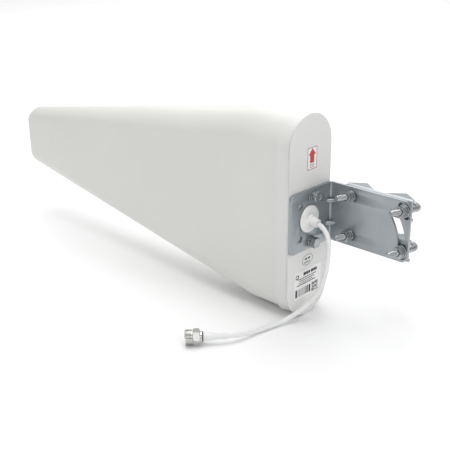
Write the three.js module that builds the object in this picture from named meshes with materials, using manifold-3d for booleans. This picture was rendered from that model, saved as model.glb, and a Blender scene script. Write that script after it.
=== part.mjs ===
// A log-periodic directional antenna in a tapered white radome, with its bent
// steel bracket, its two-U-bolt mast clamp and its short coaxial lead.
// Millimetres, +Z up along the mast, +X along the beam, towards the radome's tip,
// +Y towards the side that the lead lies on. The origin is on the mast's axis,
// midway between the two U-bolts.

import * as THREE from 'three';
import { mergeVertices } from 'three/addons/utils/BufferGeometryUtils.js';
import Module from 'manifold-3d';

const wasm = await Module();
wasm.setup();

// Driving dimensions.

// Clearance left between pieces that touch.
const GAP = 0.3;

// The antenna's own axis, measured from the mast's axis: its rear face is this
// far forward of the mast, and its centre line this far to the left.
const REAR_FACE_X = 59;
const ANTENNA_Y = 53;

// End cap: an obround lid over the radome's open rear end.
const CAP_HALF_HEIGHT = 106.8;
const CAP_HALF_THICKNESS = 32.6;
const CAP_LENGTH = 17;
const CAP_WALL = 3;
const CAP_REAR_FILLET = 2.5;
const CAP_FRONT_FILLET = 0.8;

// Radome: parallel at first, then tapered to a blunt, slightly bowed tip.
const SHELL_HALF_HEIGHT = 104.6;
const SHELL_HALF_THICKNESS = 30.6;
const SHELL_WALL = 2.2;
const SHELL_REAR_X = 5.3;
const TAPER_START_X = 57.5;
const TIP_EDGE_X = 456.5;
const TIP_BOW = 9.5;
const TIP_HALF_HEIGHT = 38.3;
const TIP_HALF_THICKNESS = 15;

// Bent sheet bracket: a plate on the cap and a wing that runs back past the mast.
const SHEET = 3;
const PLATE_FRONT_X = -GAP;
const PLATE_REAR_X = PLATE_FRONT_X - SHEET;
const PLATE_LEFT_Y = 33;
const WING_INNER_Y = -30;
const WING_OUTER_Y = WING_INNER_Y - SHEET;
const WING_REAR_X = -96.5;
const BRACKET_HALF_HEIGHT = 31.5;
const BEND_INNER_RADIUS = 2;
const PLATE_CORNER_RADIUS = 6;
const WING_CHAMFER = 5;
const BOLT_CIRCLE_RADIUS = 24.5;
const BOLT_HOLE_RADIUS = 3.4;
const RIB_HEIGHT_Z = 12;

// Gland where the lead leaves the antenna.
const GLAND_Y = 5.3;
const GLAND_Z = 1.7;
const GLAND_FLANGE_RADIUS = 14.2;
const GLAND_BOOT_LENGTH = 10;
const GLAND_BOOT_DROOP = 15;
const GLAND_STEM_RADIUS = 6;
const GLAND_HOLE_RADIUS = 6.6;

// Metric M6 fasteners.
const ROD_RADIUS = 3;
const NUT_ACROSS_FLATS = 10;
const NUT_HEIGHT = 5;
const NUT_BORE_RADIUS = 3.4;
const HEAD_HEIGHT = 4;
const WASHER_RADIUS = 6.5;
const WASHER_BORE_RADIUS = 3.4;
const FLAT_WASHER_THICKNESS = 1.5;
const SPRING_WASHER_RADIUS = 5.5;
const SPRING_WASHER_THICKNESS = 1.6;

// Mast clamp, measured from the mast's axis.
const LEG_X = 31;
const CLAMP_Z = 21;
const U_BOLT_CORNER_RADIUS = 20;
const U_BOLT_BACK_Y = -16.5;
const U_BOLT_DROOP = 10;
const ROD_END_Y = 47.5;
const SADDLE_HALF_LENGTH = 38;
const SADDLE_SLIP = 2;
const SADDLE_HALF_HEIGHT = 11;
const SADDLE_SHEET = 2.5;
const SADDLE_END_DEPTH = 5;
const SADDLE_HOLE_RADIUS = 3.9;
const PIVOT_HOLE_RADIUS = 3.9;

// Tilt adjustment: arc slots about the lower front U-bolt leg, in degrees up
// from that leg's horizontal.
const SLOT_HALF_WIDTH = 4.3;
const SLOT_BELOW = 3;
const SLOT_ABOVE = 4;
const LONG_SLOT_TOP = 34;

// Lead and its connector. The route's points lie on the lead's axis.
const LEAD_RADIUS = 2.5;
const LEAD_ROUTE = [
  [42.9, 58.3, -1],
  [39, 58.4, -2.5],
  [35.4, 58.7, -4.8],
  [32.4, 59.1, -7.9],
  [30.1, 59.6, -11.4],
  [28.5, 60.1, -15.4],
  [27.8, 60.5, -19.6],
  [27.7, 60.8, -24.2],
  [27.8, 61, -30.5],
  [28.4, 61, -38.4],
  [29.8, 60.6, -46.8],
  [32.1, 60, -55.2],
  [35, 59.7, -63.6],
  [38.4, 60.3, -71.7],
  [42.4, 62.3, -79.4],
  [46.7, 65.7, -86.3],
  [50.9, 70.7, -92.3],
  [54.8, 76.9, -97.2],
  [58.4, 84.1, -100.9],
  [61.4, 92.1, -103.2],
  [63.8, 100.6, -104.1],
  [65.7, 109.2, -104.2],
  [67.4, 117.9, -103.7],
  [68.7, 126.6, -102.7],
  [69.9, 135.3, -101.5],
  [71.6, 144, -100.1],
  [75, 152.2, -99],
  [80.1, 158.9, -98.7],
  [86.3, 165.1, -98.7],
  [92.6, 171.4, -98.7],
];
const CONNECTOR_REAR = [92.8, 171.6, -98.7];
const CONNECTOR_HEADING = Math.PI / 4;
const CONNECTOR_BARREL_RADIUS = 7.95;

// Aerial inside the radome: two flat booms with alternate half-dipoles.
const BOOM_HALF_HEIGHT = 7;
const BOOM_INNER_Y = 4;
const BOOM_THICKNESS = 2;
const BOOM_REAR_X = 38;
const BOOM_TIP_X = 436;
const FIRST_ELEMENT_X = 60;
const FIRST_ELEMENT_HALF_LENGTH = 95;
const ELEMENT_APEX_X = 540;
const ELEMENT_RATIO = 0.892;
const ELEMENT_COUNT = 14;
const SPACER_XS = { rear: 74, middle: 209, front: 353 };
const FOAM_SPANS = { middle: [275, 289], front: [352.5, 363.5] };

// Colours.
const WHITE_PLASTIC = { color: 0xe6e7e4, roughness: 0.45, metalness: 0 };
const WHITE_RUBBER = { color: 0xdcdedb, roughness: 0.6, metalness: 0 };
const BLACK_RUBBER = { color: 0x1b1c1d, roughness: 0.8, metalness: 0 };
const ZINC_SHEET = { color: 0x9ba5a6, roughness: 0.38, metalness: 0.85 };
const STAINLESS = { color: 0xa6a8a9, roughness: 0.3, metalness: 0.95 };
const NICKEL = { color: 0xb9bab8, roughness: 0.2, metalness: 1 };
const ALUMINIUM = { color: 0xb4b7ba, roughness: 0.45, metalness: 0.9 };
const BRASS = { color: 0xb08d4a, roughness: 0.35, metalness: 0.9 };
const NYLON = { color: 0xcfd0c8, roughness: 0.6, metalness: 0 };
const LABEL = { color: 0xeceae6, roughness: 0.5, metalness: 0 };

// Directions that shapes are extruded along. A shape's x and y become the first
// two axes, and its depth the third.
const X = new THREE.Vector3(1, 0, 0);
const Y = new THREE.Vector3(0, 1, 0);
const Z = new THREE.Vector3(0, 0, 1);
const ALONG_X = new THREE.Matrix4().makeBasis(Y, Z, X);
const ALONG_Y = new THREE.Matrix4().makeBasis(Z, X, Y);
const BACK_ALONG_Y = new THREE.Matrix4().makeBasis(X, Z, Y.clone().negate());

// Solid building.

function toSolid(geometry) {
  const bare = geometry.clone();
  bare.deleteAttribute('normal');
  bare.deleteAttribute('uv');
  const merged = mergeVertices(bare, 1e-4);
  return new wasm.Manifold(new wasm.Mesh({
    numProp: 3,
    vertProperties: new Float32Array(merged.attributes.position.array),
    triVerts: new Uint32Array(merged.index.array),
  }));
}

function toGeometry(solid) {
  const mesh = solid.getMesh();
  const positions = [];
  for (let i = 0; i < mesh.vertProperties.length; i += mesh.numProp) {
    positions.push(mesh.vertProperties[i], mesh.vertProperties[i + 1], mesh.vertProperties[i + 2]);
  }
  const geometry = new THREE.BufferGeometry();
  geometry.setAttribute('position', new THREE.Float32BufferAttribute(positions, 3));
  geometry.setIndex(Array.from(mesh.triVerts));
  return geometry;
}

function unite(geometries) {
  return toGeometry(geometries.map(toSolid).reduce((sum, solid) => sum.add(solid)));
}

function cut(geometry, cutters) {
  return toGeometry(cutters.map(toSolid).reduce((rest, solid) => rest.subtract(solid), toSolid(geometry)));
}

function common(first, second) {
  return toGeometry(toSolid(first).intersect(toSolid(second)));
}

// Straight extrusion of a shape from one place to another along its basis axis.
function prism(shape, basis, start, end, curveSegments = 12) {
  const geometry = new THREE.ExtrudeGeometry(shape, {
    depth: end - start,
    bevelEnabled: false,
    curveSegments,
  });
  geometry.translate(0, 0, start);
  geometry.applyMatrix4(basis);
  return geometry;
}

function polygon(points) {
  return new THREE.Shape(points.map(([x, y]) => new THREE.Vector2(x, y)));
}

function rectangle(lowX, lowY, highX, highY) {
  return polygon([[lowX, lowY], [highX, lowY], [highX, highY], [lowX, highY]]);
}

function roundedRectangle(halfWidth, halfHeight, radius) {
  const shape = new THREE.Shape();
  shape.moveTo(halfWidth, halfHeight - radius);
  shape.absarc(halfWidth - radius, halfHeight - radius, radius, 0, Math.PI / 2);
  shape.absarc(radius - halfWidth, halfHeight - radius, radius, Math.PI / 2, Math.PI);
  shape.absarc(radius - halfWidth, radius - halfHeight, radius, Math.PI, 1.5 * Math.PI);
  shape.absarc(halfWidth - radius, radius - halfHeight, radius, 1.5 * Math.PI, 2 * Math.PI);
  return shape;
}

function disc(x, y, radius) {
  const shape = new THREE.Shape();
  shape.absarc(x, y, radius, 0, 2 * Math.PI);
  return shape;
}

function circleHole(x, y, radius) {
  const path = new THREE.Path();
  path.absarc(x, y, radius, 0, 2 * Math.PI, true);
  return path;
}

function hexagon(acrossFlats) {
  const radius = acrossFlats / Math.sqrt(3);
  const points = [];
  for (let side = 0; side < 6; side += 1) {
    const angle = side * Math.PI / 3;
    points.push([radius * Math.cos(angle), radius * Math.sin(angle)]);
  }
  return polygon(points);
}

// Turned piece about an axis through the origin, as [radius, distance] pairs.
function turned(profile, basis, segments = 24) {
  const points = profile.map(([radius, distance]) => new THREE.Vector2(radius, distance));
  const geometry = new THREE.LatheGeometry(points, segments);
  geometry.rotateX(Math.PI / 2);
  geometry.applyMatrix4(basis);
  return geometry;
}

// Outline of an upright obround, counter-clockwise seen from +X, as [y, z].
function obround(halfHeight, halfThickness, arcSteps = 16) {
  const straight = halfHeight - halfThickness;
  const points = [];
  for (let end = 0; end < 2; end += 1) {
    const centreZ = end === 0 ? straight : -straight;
    for (let step = 0; step <= arcSteps; step += 1) {
      const angle = Math.PI * (end + step / arcSteps);
      points.push([halfThickness * Math.cos(angle), centreZ + halfThickness * Math.sin(angle)]);
    }
  }
  return points;
}

// Closed solid through sections given as { x, outline } in order of x.
function loft(sections) {
  const count = sections[0].outline.length;
  const positions = [];
  for (const { x, outline } of sections) {
    for (const [y, z] of outline) {
      positions.push(x, y, z);
    }
  }
  const index = [];
  for (let ring = 0; ring + 1 < sections.length; ring += 1) {
    for (let i = 0; i < count; i += 1) {
      const a = ring * count + i;
      const b = ring * count + (i + 1) % count;
      index.push(a, b, b + count, a, b + count, a + count);
    }
  }
  const last = (sections.length - 1) * count;
  for (let i = 1; i + 1 < count; i += 1) {
    index.push(0, i + 1, i);
    index.push(last, last + i, last + i + 1);
  }
  const geometry = new THREE.BufferGeometry();
  geometry.setAttribute('position', new THREE.Float32BufferAttribute(positions, 3));
  geometry.setIndex(index);
  return geometry;
}

// Scene graph.

const yagiAntenna = new THREE.Group();
const antenna = new THREE.Group();
antenna.position.set(REAR_FACE_X, ANTENNA_Y, 0);
yagiAntenna.add(antenna);

function place(parent, name, geometry, look) {
  geometry.computeVertexNormals();
  const mesh = new THREE.Mesh(geometry, new THREE.MeshStandardMaterial(look));
  mesh.name = name;
  parent.add(mesh);
}

// Radome and end cap.

function taperedBody(inset, rearX, frontX) {
  const taperLength = TIP_EDGE_X - TAPER_START_X;
  const sectionAt = (x) => {
    const share = Math.max(0, x - TAPER_START_X) / taperLength;
    const halfHeight = THREE.MathUtils.lerp(SHELL_HALF_HEIGHT, TIP_HALF_HEIGHT, share);
    const halfThickness = THREE.MathUtils.lerp(SHELL_HALF_THICKNESS, TIP_HALF_THICKNESS, share);
    return { x, outline: obround(halfHeight - inset, halfThickness - inset) };
  };
  return loft([rearX, TAPER_START_X, frontX].map(sectionAt));
}

// Side profile that bows the tip: a circle through the tip's top and bottom edges.
function tipEnvelope(inset) {
  const radius = (TIP_HALF_HEIGHT ** 2 + TIP_BOW ** 2) / (2 * TIP_BOW);
  const centreX = TIP_EDGE_X + TIP_BOW - radius;
  const halfHeight = SHELL_HALF_HEIGHT + 10;
  const start = Math.asin(60 / radius);
  const shape = new THREE.Shape();
  shape.moveTo(-20, -halfHeight);
  shape.lineTo(centreX, -halfHeight);
  shape.absarc(centreX, 0, radius - inset, -start, start);
  shape.lineTo(centreX, halfHeight);
  shape.lineTo(-20, halfHeight);
  return prism(shape, BACK_ALONG_Y, -50, 50, 24);
}

function radomeShell() {
  const overrun = 30;
  const outer = common(taperedBody(0, SHELL_REAR_X, TIP_EDGE_X + overrun), tipEnvelope(0));
  const inner = common(
    taperedBody(SHELL_WALL, SHELL_REAR_X - 1, TIP_EDGE_X + overrun),
    tipEnvelope(SHELL_WALL),
  );
  return cut(outer, [inner]);
}

function boltHoles(radius, angles, startX, endX) {
  return angles.map((degrees) => {
    const angle = THREE.MathUtils.degToRad(degrees);
    const y = BOLT_CIRCLE_RADIUS * Math.cos(angle);
    const z = BOLT_CIRCLE_RADIUS * Math.sin(angle);
    return prism(disc(y, z, radius), ALONG_X, startX, endX);
  });
}

function glandHole(radius, startX, endX) {
  return prism(disc(GLAND_Y, GLAND_Z, radius), ALONG_X, startX, endX);
}

function endCap() {
  const sections = [];
  const section = (x, inset) => {
    sections.push({ x, outline: obround(CAP_HALF_HEIGHT - inset, CAP_HALF_THICKNESS - inset) });
  };
  const filletSteps = 4;
  for (let step = 0; step <= filletSteps; step += 1) {
    const angle = (Math.PI / 2) * (1 - step / filletSteps);
    section(CAP_REAR_FILLET * (1 - Math.sin(angle)), CAP_REAR_FILLET * (1 - Math.cos(angle)));
  }
  section(CAP_LENGTH - CAP_FRONT_FILLET, 0);
  section(CAP_LENGTH, CAP_FRONT_FILLET);
  const pocketOutline = obround(SHELL_HALF_HEIGHT + GAP, SHELL_HALF_THICKNESS + GAP);
  const pocket = loft([
    { x: CAP_WALL, outline: pocketOutline },
    { x: CAP_LENGTH + 1, outline: pocketOutline },
  ]);
  const holes = boltHoles(BOLT_HOLE_RADIUS, [90, 270], -1, CAP_WALL + 1);
  return cut(loft(sections), [pocket, ...holes, glandHole(GLAND_HOLE_RADIUS, -1, CAP_WALL + 1)]);
}

function obroundPlate(halfHeight, halfThickness, startX, endX) {
  const outline = obround(halfHeight, halfThickness);
  return loft([{ x: startX, outline }, { x: endX, outline }]);
}

function capGasket() {
  const clear = GAP / 2;
  const ring = obroundPlate(SHELL_HALF_HEIGHT - clear, SHELL_HALF_THICKNESS - clear, CAP_WALL + GAP,
    SHELL_REAR_X - GAP);
  const hole = obroundPlate(SHELL_HALF_HEIGHT - 3, SHELL_HALF_THICKNESS - 3, 0, CAP_LENGTH);
  return cut(ring, [hole]);
}

const BACK_PLATE_FRONT_X = CAP_WALL + GAP + SHEET;

function backPlate() {
  const plate = obroundPlate(46, 24, CAP_WALL + GAP, BACK_PLATE_FRONT_X);
  const holes = boltHoles(BOLT_HOLE_RADIUS, [90, 270], 0, CAP_LENGTH);
  return cut(plate, [...holes, glandHole(GLAND_HOLE_RADIUS, 0, CAP_LENGTH)]);
}

place(antenna, 'radome_shell', radomeShell(), WHITE_PLASTIC);
place(antenna, 'end_cap', endCap(), WHITE_PLASTIC);
place(antenna, 'cap_gasket', capGasket(), BLACK_RUBBER);
place(antenna, 'back_plate', backPlate(), ALUMINIUM);

// Labels on the cap's rear face: an arrow for "this way up" and a rating plate.

function label(centreY, centreZ, halfWidth, halfHeight, cornerRadius) {
  const thickness = 0.2;
  const geometry = prism(roundedRectangle(halfWidth, halfHeight, cornerRadius), ALONG_X, 0, thickness, 4);
  geometry.translate(-thickness - GAP / 3, centreY, centreZ);
  return geometry;
}

place(antenna, 'arrow_label', label(-2.1, 61.8, 7.8, 11.6, 1), LABEL);
place(antenna, 'rating_label', label(-0.45, -70.7, 21.45, 15.3, 1), LABEL);

// Aerial inside the radome.

function radiator(side) {
  const top = [];
  const bottom = [];
  for (let k = 0; k < ELEMENT_COUNT; k += 1) {
    const shrink = ELEMENT_RATIO ** k;
    const x = ELEMENT_APEX_X - (ELEMENT_APEX_X - FIRST_ELEMENT_X) * shrink;
    const halfLength = FIRST_ELEMENT_HALF_LENGTH * shrink;
    const halfWidth = 1 + 4 * shrink;
    const up = (k % 2 === 0) === (side > 0);
    const edge = up ? BOOM_HALF_HEIGHT : -BOOM_HALF_HEIGHT;
    const end = up ? halfLength : -halfLength;
    const tooth = [[x - halfWidth, edge], [x - halfWidth, end], [x + halfWidth, end], [x + halfWidth, edge]];
    if (up) {
      top.push(...tooth);
    } else {
      bottom.push(...tooth);
    }
  }
  const shape = polygon([
    [BOOM_TIP_X, -BOOM_HALF_HEIGHT],
    [BOOM_TIP_X, BOOM_HALF_HEIGHT],
    ...top.reverse(),
    [BOOM_REAR_X, BOOM_HALF_HEIGHT],
    [BOOM_REAR_X, -BOOM_HALF_HEIGHT],
    ...bottom,
  ]);
  for (const x of Object.values(SPACER_XS)) {
    shape.holes.push(circleHole(x, 0, 2.3));
  }
  const near = -side * BOOM_INNER_Y;
  const far = -side * (BOOM_INNER_Y + BOOM_THICKNESS);
  return prism(shape, BACK_ALONG_Y, Math.min(near, far), Math.max(near, far), 6);
}

function boomSpacer(x) {
  const block = rectangle(x - 7, 1 - BOOM_HALF_HEIGHT, x + 7, BOOM_HALF_HEIGHT - 1);
  block.holes.push(circleHole(x, 0, 2.3));
  const halfWidth = BOOM_INNER_Y - GAP;
  return prism(block, BACK_ALONG_Y, -halfWidth, halfWidth, 6);
}

function boomRivet(x) {
  const reach = BOOM_INNER_Y + BOOM_THICKNESS + GAP;
  const profile = [[0, -reach - 1.3], [3.4, -reach - 1.3], [3.4, -reach], [1.9, -reach],
    [1.9, reach], [3.4, reach], [3.4, reach + 1.3], [0, reach + 1.3]];
  const rivet = turned(profile, ALONG_Y, 12);
  rivet.translate(x, 0, 0);
  return rivet;
}

const SHORTING_BLOCK_HALF_HEIGHT = 12.9;

function shortingBlock() {
  const halfWidth = BOOM_INNER_Y - GAP;
  const shape = rectangle(40, -SHORTING_BLOCK_HALF_HEIGHT, 52, SHORTING_BLOCK_HALF_HEIGHT);
  return prism(shape, BACK_ALONG_Y, -halfWidth, halfWidth);
}

// Folded strap from the back plate to the shorting block.
function boomBracket() {
  const rear = BACK_PLATE_FRONT_X + GAP;
  const inside = SHORTING_BLOCK_HALF_HEIGHT + GAP;
  const sheet = 2.2;
  const shape = polygon([
    [rear, -inside - sheet],
    [52, -inside - sheet],
    [52, -inside],
    [rear + sheet, -inside],
    [rear + sheet, inside],
    [52, inside],
    [52, inside + sheet],
    [rear, inside + sheet],
  ]);
  return cut(prism(shape, BACK_ALONG_Y, -8, 8), [glandHole(10.6, 0, 12)]);
}

// Foam block that fills the radome's section around the booms.
function foamSupport(startX, endX) {
  const filled = common(taperedBody(SHELL_WALL + 1, 20, TIP_EDGE_X), prism(
    rectangle(startX, -120, endX, 120), BACK_ALONG_Y, -40, 40));
  const tunnel = prism(rectangle(-13.4, -BOOM_HALF_HEIGHT - 1, 13.4, BOOM_HALF_HEIGHT + 1), ALONG_X, 0,
    TIP_EDGE_X);
  return cut(filled, [tunnel]);
}

function tubeAlong(points, radius, steps, sides) {
  const curve = new THREE.CatmullRomCurve3(points.map(([x, y, z]) => new THREE.Vector3(x, y, z)));
  return new THREE.ExtrudeGeometry(disc(0, 0, radius), {
    steps,
    bevelEnabled: false,
    extrudePath: curve,
    curveSegments: sides,
  });
}

place(antenna, 'radiator_left', radiator(1), ALUMINIUM);
place(antenna, 'radiator_right', radiator(-1), ALUMINIUM);
for (const [station, x] of Object.entries(SPACER_XS)) {
  place(antenna, `${station}_boom_spacer`, boomSpacer(x), NYLON);
  place(antenna, `${station}_boom_rivet`, boomRivet(x), ALUMINIUM);
}
place(antenna, 'shorting_block', shortingBlock(), ALUMINIUM);
place(antenna, 'boom_bracket', boomBracket(), ALUMINIUM);
for (const [station, [startX, endX]] of Object.entries(FOAM_SPANS)) {
  place(antenna, `${station}_foam_support`, foamSupport(startX, endX), NYLON);
}
const feedCoax = tubeAlong([
  [15, GLAND_Y, GLAND_Z],
  [20, 5.6, 1.6],
  [30, 9, 0.8],
  [40, 10.4, 0.2],
  [60, 10.6, 0],
  [240, 10.6, 0],
  [428, 10.6, 0],
], 2.3, 24, 8);
place(antenna, 'feed_coax', feedCoax, WHITE_RUBBER);
const feedTag = prism(rectangle(BOOM_TIP_X + GAP, -2, BOOM_TIP_X + 2, 2), BACK_ALONG_Y, -12.5, 6);
place(antenna, 'feed_tag', feedTag, BRASS);

// Gland, with its flange and tapered boot outside and its nut inside.

function aboutGland(geometry) {
  geometry.translate(0, GLAND_Y, GLAND_Z);
  return geometry;
}

const FLANGE_FRONT_X = PLATE_REAR_X - GAP;
const FLANGE_REAR_X = FLANGE_FRONT_X - 2.4;

// The boot sags below the flange's axis under the lead's weight.
function gland() {
  const seat = turned([
    [0, FLANGE_REAR_X],
    [GLAND_FLANGE_RADIUS - 0.6, FLANGE_REAR_X],
    [GLAND_FLANGE_RADIUS, FLANGE_REAR_X + 0.6],
    [GLAND_FLANGE_RADIUS, FLANGE_FRONT_X],
    [GLAND_STEM_RADIUS, FLANGE_FRONT_X],
    [GLAND_STEM_RADIUS, 14.3],
    [0, 14.3],
  ], ALONG_X, 32);
  const boot = turned([
    [0, -GLAND_BOOT_LENGTH],
    [4.6, -GLAND_BOOT_LENGTH],
    [4.6, 1.8 - GLAND_BOOT_LENGTH],
    [4.1, 1.8 - GLAND_BOOT_LENGTH],
    [5, 0.6],
    [0, 1.6],
  ], ALONG_X, 24);
  boot.rotateY(-THREE.MathUtils.degToRad(GLAND_BOOT_DROOP));
  boot.translate(FLANGE_REAR_X, 0, 0);
  return aboutGland(unite([seat, boot]));
}

place(antenna, 'cable_gland', gland(), WHITE_RUBBER);

const glandNut = hexagon(17);
glandNut.holes.push(circleHole(0, 0, GLAND_HOLE_RADIUS));
const glandNutStart = BACK_PLATE_FRONT_X + GAP;
place(antenna, 'gland_nut', aboutGland(prism(glandNut, ALONG_X, glandNutStart, glandNutStart + 4)), NYLON);

// Bracket.

// Band along an arc with round ends, in degrees, measured up from -X about a pivot.
function arcSlot(pivotX, pivotZ, radius, low, high) {
  const start = Math.PI - THREE.MathUtils.degToRad(high);
  const end = Math.PI - THREE.MathUtils.degToRad(low);
  const endCap = (angle, turn) => {
    const x = pivotX + radius * Math.cos(angle);
    const z = pivotZ + radius * Math.sin(angle);
    shape.absarc(x, z, SLOT_HALF_WIDTH, angle + turn, angle + turn + Math.PI);
  };
  const shape = new THREE.Shape();
  shape.absarc(pivotX, pivotZ, radius + SLOT_HALF_WIDTH, start, end);
  endCap(end, 0);
  shape.absarc(pivotX, pivotZ, radius - SLOT_HALF_WIDTH, end, start, true);
  endCap(start, Math.PI);
  return prism(shape, BACK_ALONG_Y, -WING_INNER_Y - 1, -WING_OUTER_Y + 1, 16);
}

function bracketProfile() {
  const outerRadius = BEND_INNER_RADIUS + SHEET;
  const shape = new THREE.Shape();
  shape.moveTo(PLATE_FRONT_X, PLATE_LEFT_Y);
  shape.lineTo(PLATE_REAR_X, PLATE_LEFT_Y);
  shape.lineTo(PLATE_REAR_X, WING_INNER_Y + BEND_INNER_RADIUS);
  shape.absarc(PLATE_REAR_X - BEND_INNER_RADIUS, WING_INNER_Y + BEND_INNER_RADIUS, BEND_INNER_RADIUS,
    0, -Math.PI / 2, true);
  shape.lineTo(WING_REAR_X, WING_INNER_Y);
  shape.lineTo(WING_REAR_X, WING_OUTER_Y);
  shape.lineTo(PLATE_FRONT_X - outerRadius, WING_OUTER_Y);
  shape.absarc(PLATE_FRONT_X - outerRadius, WING_OUTER_Y + outerRadius, outerRadius, -Math.PI / 2, 0);
  return shape;
}

// Short pressed rib across the inside of the bend, at one height.
function bendRib(z) {
  const reach = 7;
  const rib = turned([[0, -reach], [2.4, -reach], [2.4, reach], [0, reach]], ALONG_Y, 16);
  rib.rotateZ(Math.PI / 4);
  rib.translate(PLATE_REAR_X - 2.4, WING_INNER_Y + 2.4, z);
  return rib;
}

function bracketEnvelope() {
  const corner = PLATE_CORNER_RADIUS;
  const high = BRACKET_HALF_HEIGHT;
  const plate = new THREE.Shape();
  plate.moveTo(WING_OUTER_Y - 1, -high);
  plate.lineTo(PLATE_LEFT_Y - corner, -high);
  plate.absarc(PLATE_LEFT_Y - corner, corner - high, corner, -Math.PI / 2, 0);
  plate.absarc(PLATE_LEFT_Y - corner, high - corner, corner, 0, Math.PI / 2);
  plate.lineTo(WING_OUTER_Y - 1, high);
  const wing = polygon([
    [0, high],
    [WING_REAR_X + WING_CHAMFER, high],
    [WING_REAR_X, high - WING_CHAMFER],
    [WING_REAR_X, WING_CHAMFER - high],
    [WING_REAR_X + WING_CHAMFER, -high],
    [0, -high],
  ]);
  return unite([
    prism(plate, ALONG_X, PLATE_REAR_X - BEND_INNER_RADIUS, 1),
    prism(wing, BACK_ALONG_Y, -WING_INNER_Y - BEND_INNER_RADIUS, -WING_OUTER_Y + 1),
  ]);
}

function bracket() {
  const across = prism(bracketProfile(), new THREE.Matrix4(), -BRACKET_HALF_HEIGHT, BRACKET_HALF_HEIGHT);
  const sheet = common(across, bracketEnvelope());
  const trimmedRibs = [-RIB_HEIGHT_Z, RIB_HEIGHT_Z].map((z) => common(bendRib(z), prism(
    rectangle(WING_REAR_X, WING_OUTER_Y + 1, PLATE_FRONT_X - 1, PLATE_LEFT_Y), new THREE.Matrix4(), -40, 40)));
  const frontLegX = LEG_X - REAR_FACE_X;
  const rearLegX = -LEG_X - REAR_FACE_X;
  const span = 2 * LEG_X;
  const rise = 2 * CLAMP_Z;
  const diagonal = Math.hypot(span, rise);
  const diagonalAngle = THREE.MathUtils.radToDeg(Math.atan2(rise, span));
  const slots = [
    arcSlot(frontLegX, -CLAMP_Z, span, -SLOT_BELOW, LONG_SLOT_TOP),
    arcSlot(frontLegX, -CLAMP_Z, diagonal, diagonalAngle - SLOT_BELOW, diagonalAngle + SLOT_ABOVE),
    arcSlot(frontLegX, -CLAMP_Z, rise, 90 - SLOT_BELOW, 90 + SLOT_ABOVE),
  ];
  const pivotHole = prism(disc(frontLegX, -CLAMP_Z, PIVOT_HOLE_RADIUS), BACK_ALONG_Y, -WING_INNER_Y - 1,
    -WING_OUTER_Y + 1);
  const plateHoles = boltHoles(BOLT_HOLE_RADIUS, [45, 90, 135, 225, 270, 315], -6, 1);
  const leadHole = glandHole(GLAND_HOLE_RADIUS + 1, -6, 1);
  return cut(unite([sheet, ...trimmedRibs]), [...slots, pivotHole, ...plateHoles, leadHole]);
}

place(antenna, 'l_bracket', bracket(), ZINC_SHEET);

// Fasteners. Each function makes one piece on an axis through the origin, lying
// from the given start towards its basis axis.

function flatWasher(basis, start) {
  const shape = disc(0, 0, WASHER_RADIUS);
  shape.holes.push(circleHole(0, 0, WASHER_BORE_RADIUS));
  return prism(shape, basis, start, start + FLAT_WASHER_THICKNESS, 12);
}

function springWasher(basis, start) {
  const split = 0.12;
  const shape = new THREE.Shape();
  shape.absarc(0, 0, SPRING_WASHER_RADIUS, split, 2 * Math.PI - split);
  shape.absarc(0, 0, WASHER_BORE_RADIUS, 2 * Math.PI - split, split, true);
  return prism(shape, basis, start, start + SPRING_WASHER_THICKNESS, 12);
}

function hexNut(basis, start) {
  const shape = hexagon(NUT_ACROSS_FLATS);
  shape.holes.push(circleHole(0, 0, NUT_BORE_RADIUS));
  return prism(shape, basis, start, start + NUT_HEIGHT, 8);
}

// Two bolts hold the bracket to the back plate through the cap.
const boltWasherStart = PLATE_REAR_X - GAP - FLAT_WASHER_THICKNESS;
const boltSpringStart = boltWasherStart - GAP - SPRING_WASHER_THICKNESS;
const boltHeadEnd = boltSpringStart - GAP;
const innerNutStart = BACK_PLATE_FRONT_X + GAP;

function bracketBolt() {
  const head = prism(hexagon(NUT_ACROSS_FLATS), ALONG_X, boltHeadEnd - HEAD_HEIGHT, boltHeadEnd);
  const shank = prism(disc(0, 0, ROD_RADIUS), ALONG_X, boltHeadEnd - 1, innerNutStart + NUT_HEIGHT + 1.5, 10);
  return unite([head, shank]);
}

for (const [level, z] of [['upper', BOLT_CIRCLE_RADIUS], ['lower', -BOLT_CIRCLE_RADIUS]]) {
  const stack = new THREE.Group();
  stack.position.z = z;
  antenna.add(stack);
  place(stack, `${level}_bracket_bolt`, bracketBolt(), STAINLESS);
  place(stack, `${level}_bracket_flat_washer`, flatWasher(ALONG_X, boltWasherStart), STAINLESS);
  place(stack, `${level}_bracket_spring_washer`, springWasher(ALONG_X, boltSpringStart), STAINLESS);
  place(stack, `${level}_bracket_nut`, hexNut(ALONG_X, innerNutStart), STAINLESS);
}

// Mast clamp: on each level a U-bolt, a notched channel saddle against the wing's
// outer face, and a nut and washers on each leg against its inner face.

const WING_OUTER = ANTENNA_Y + WING_OUTER_Y;
const WING_INNER = ANTENNA_Y + WING_INNER_Y;

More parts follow.
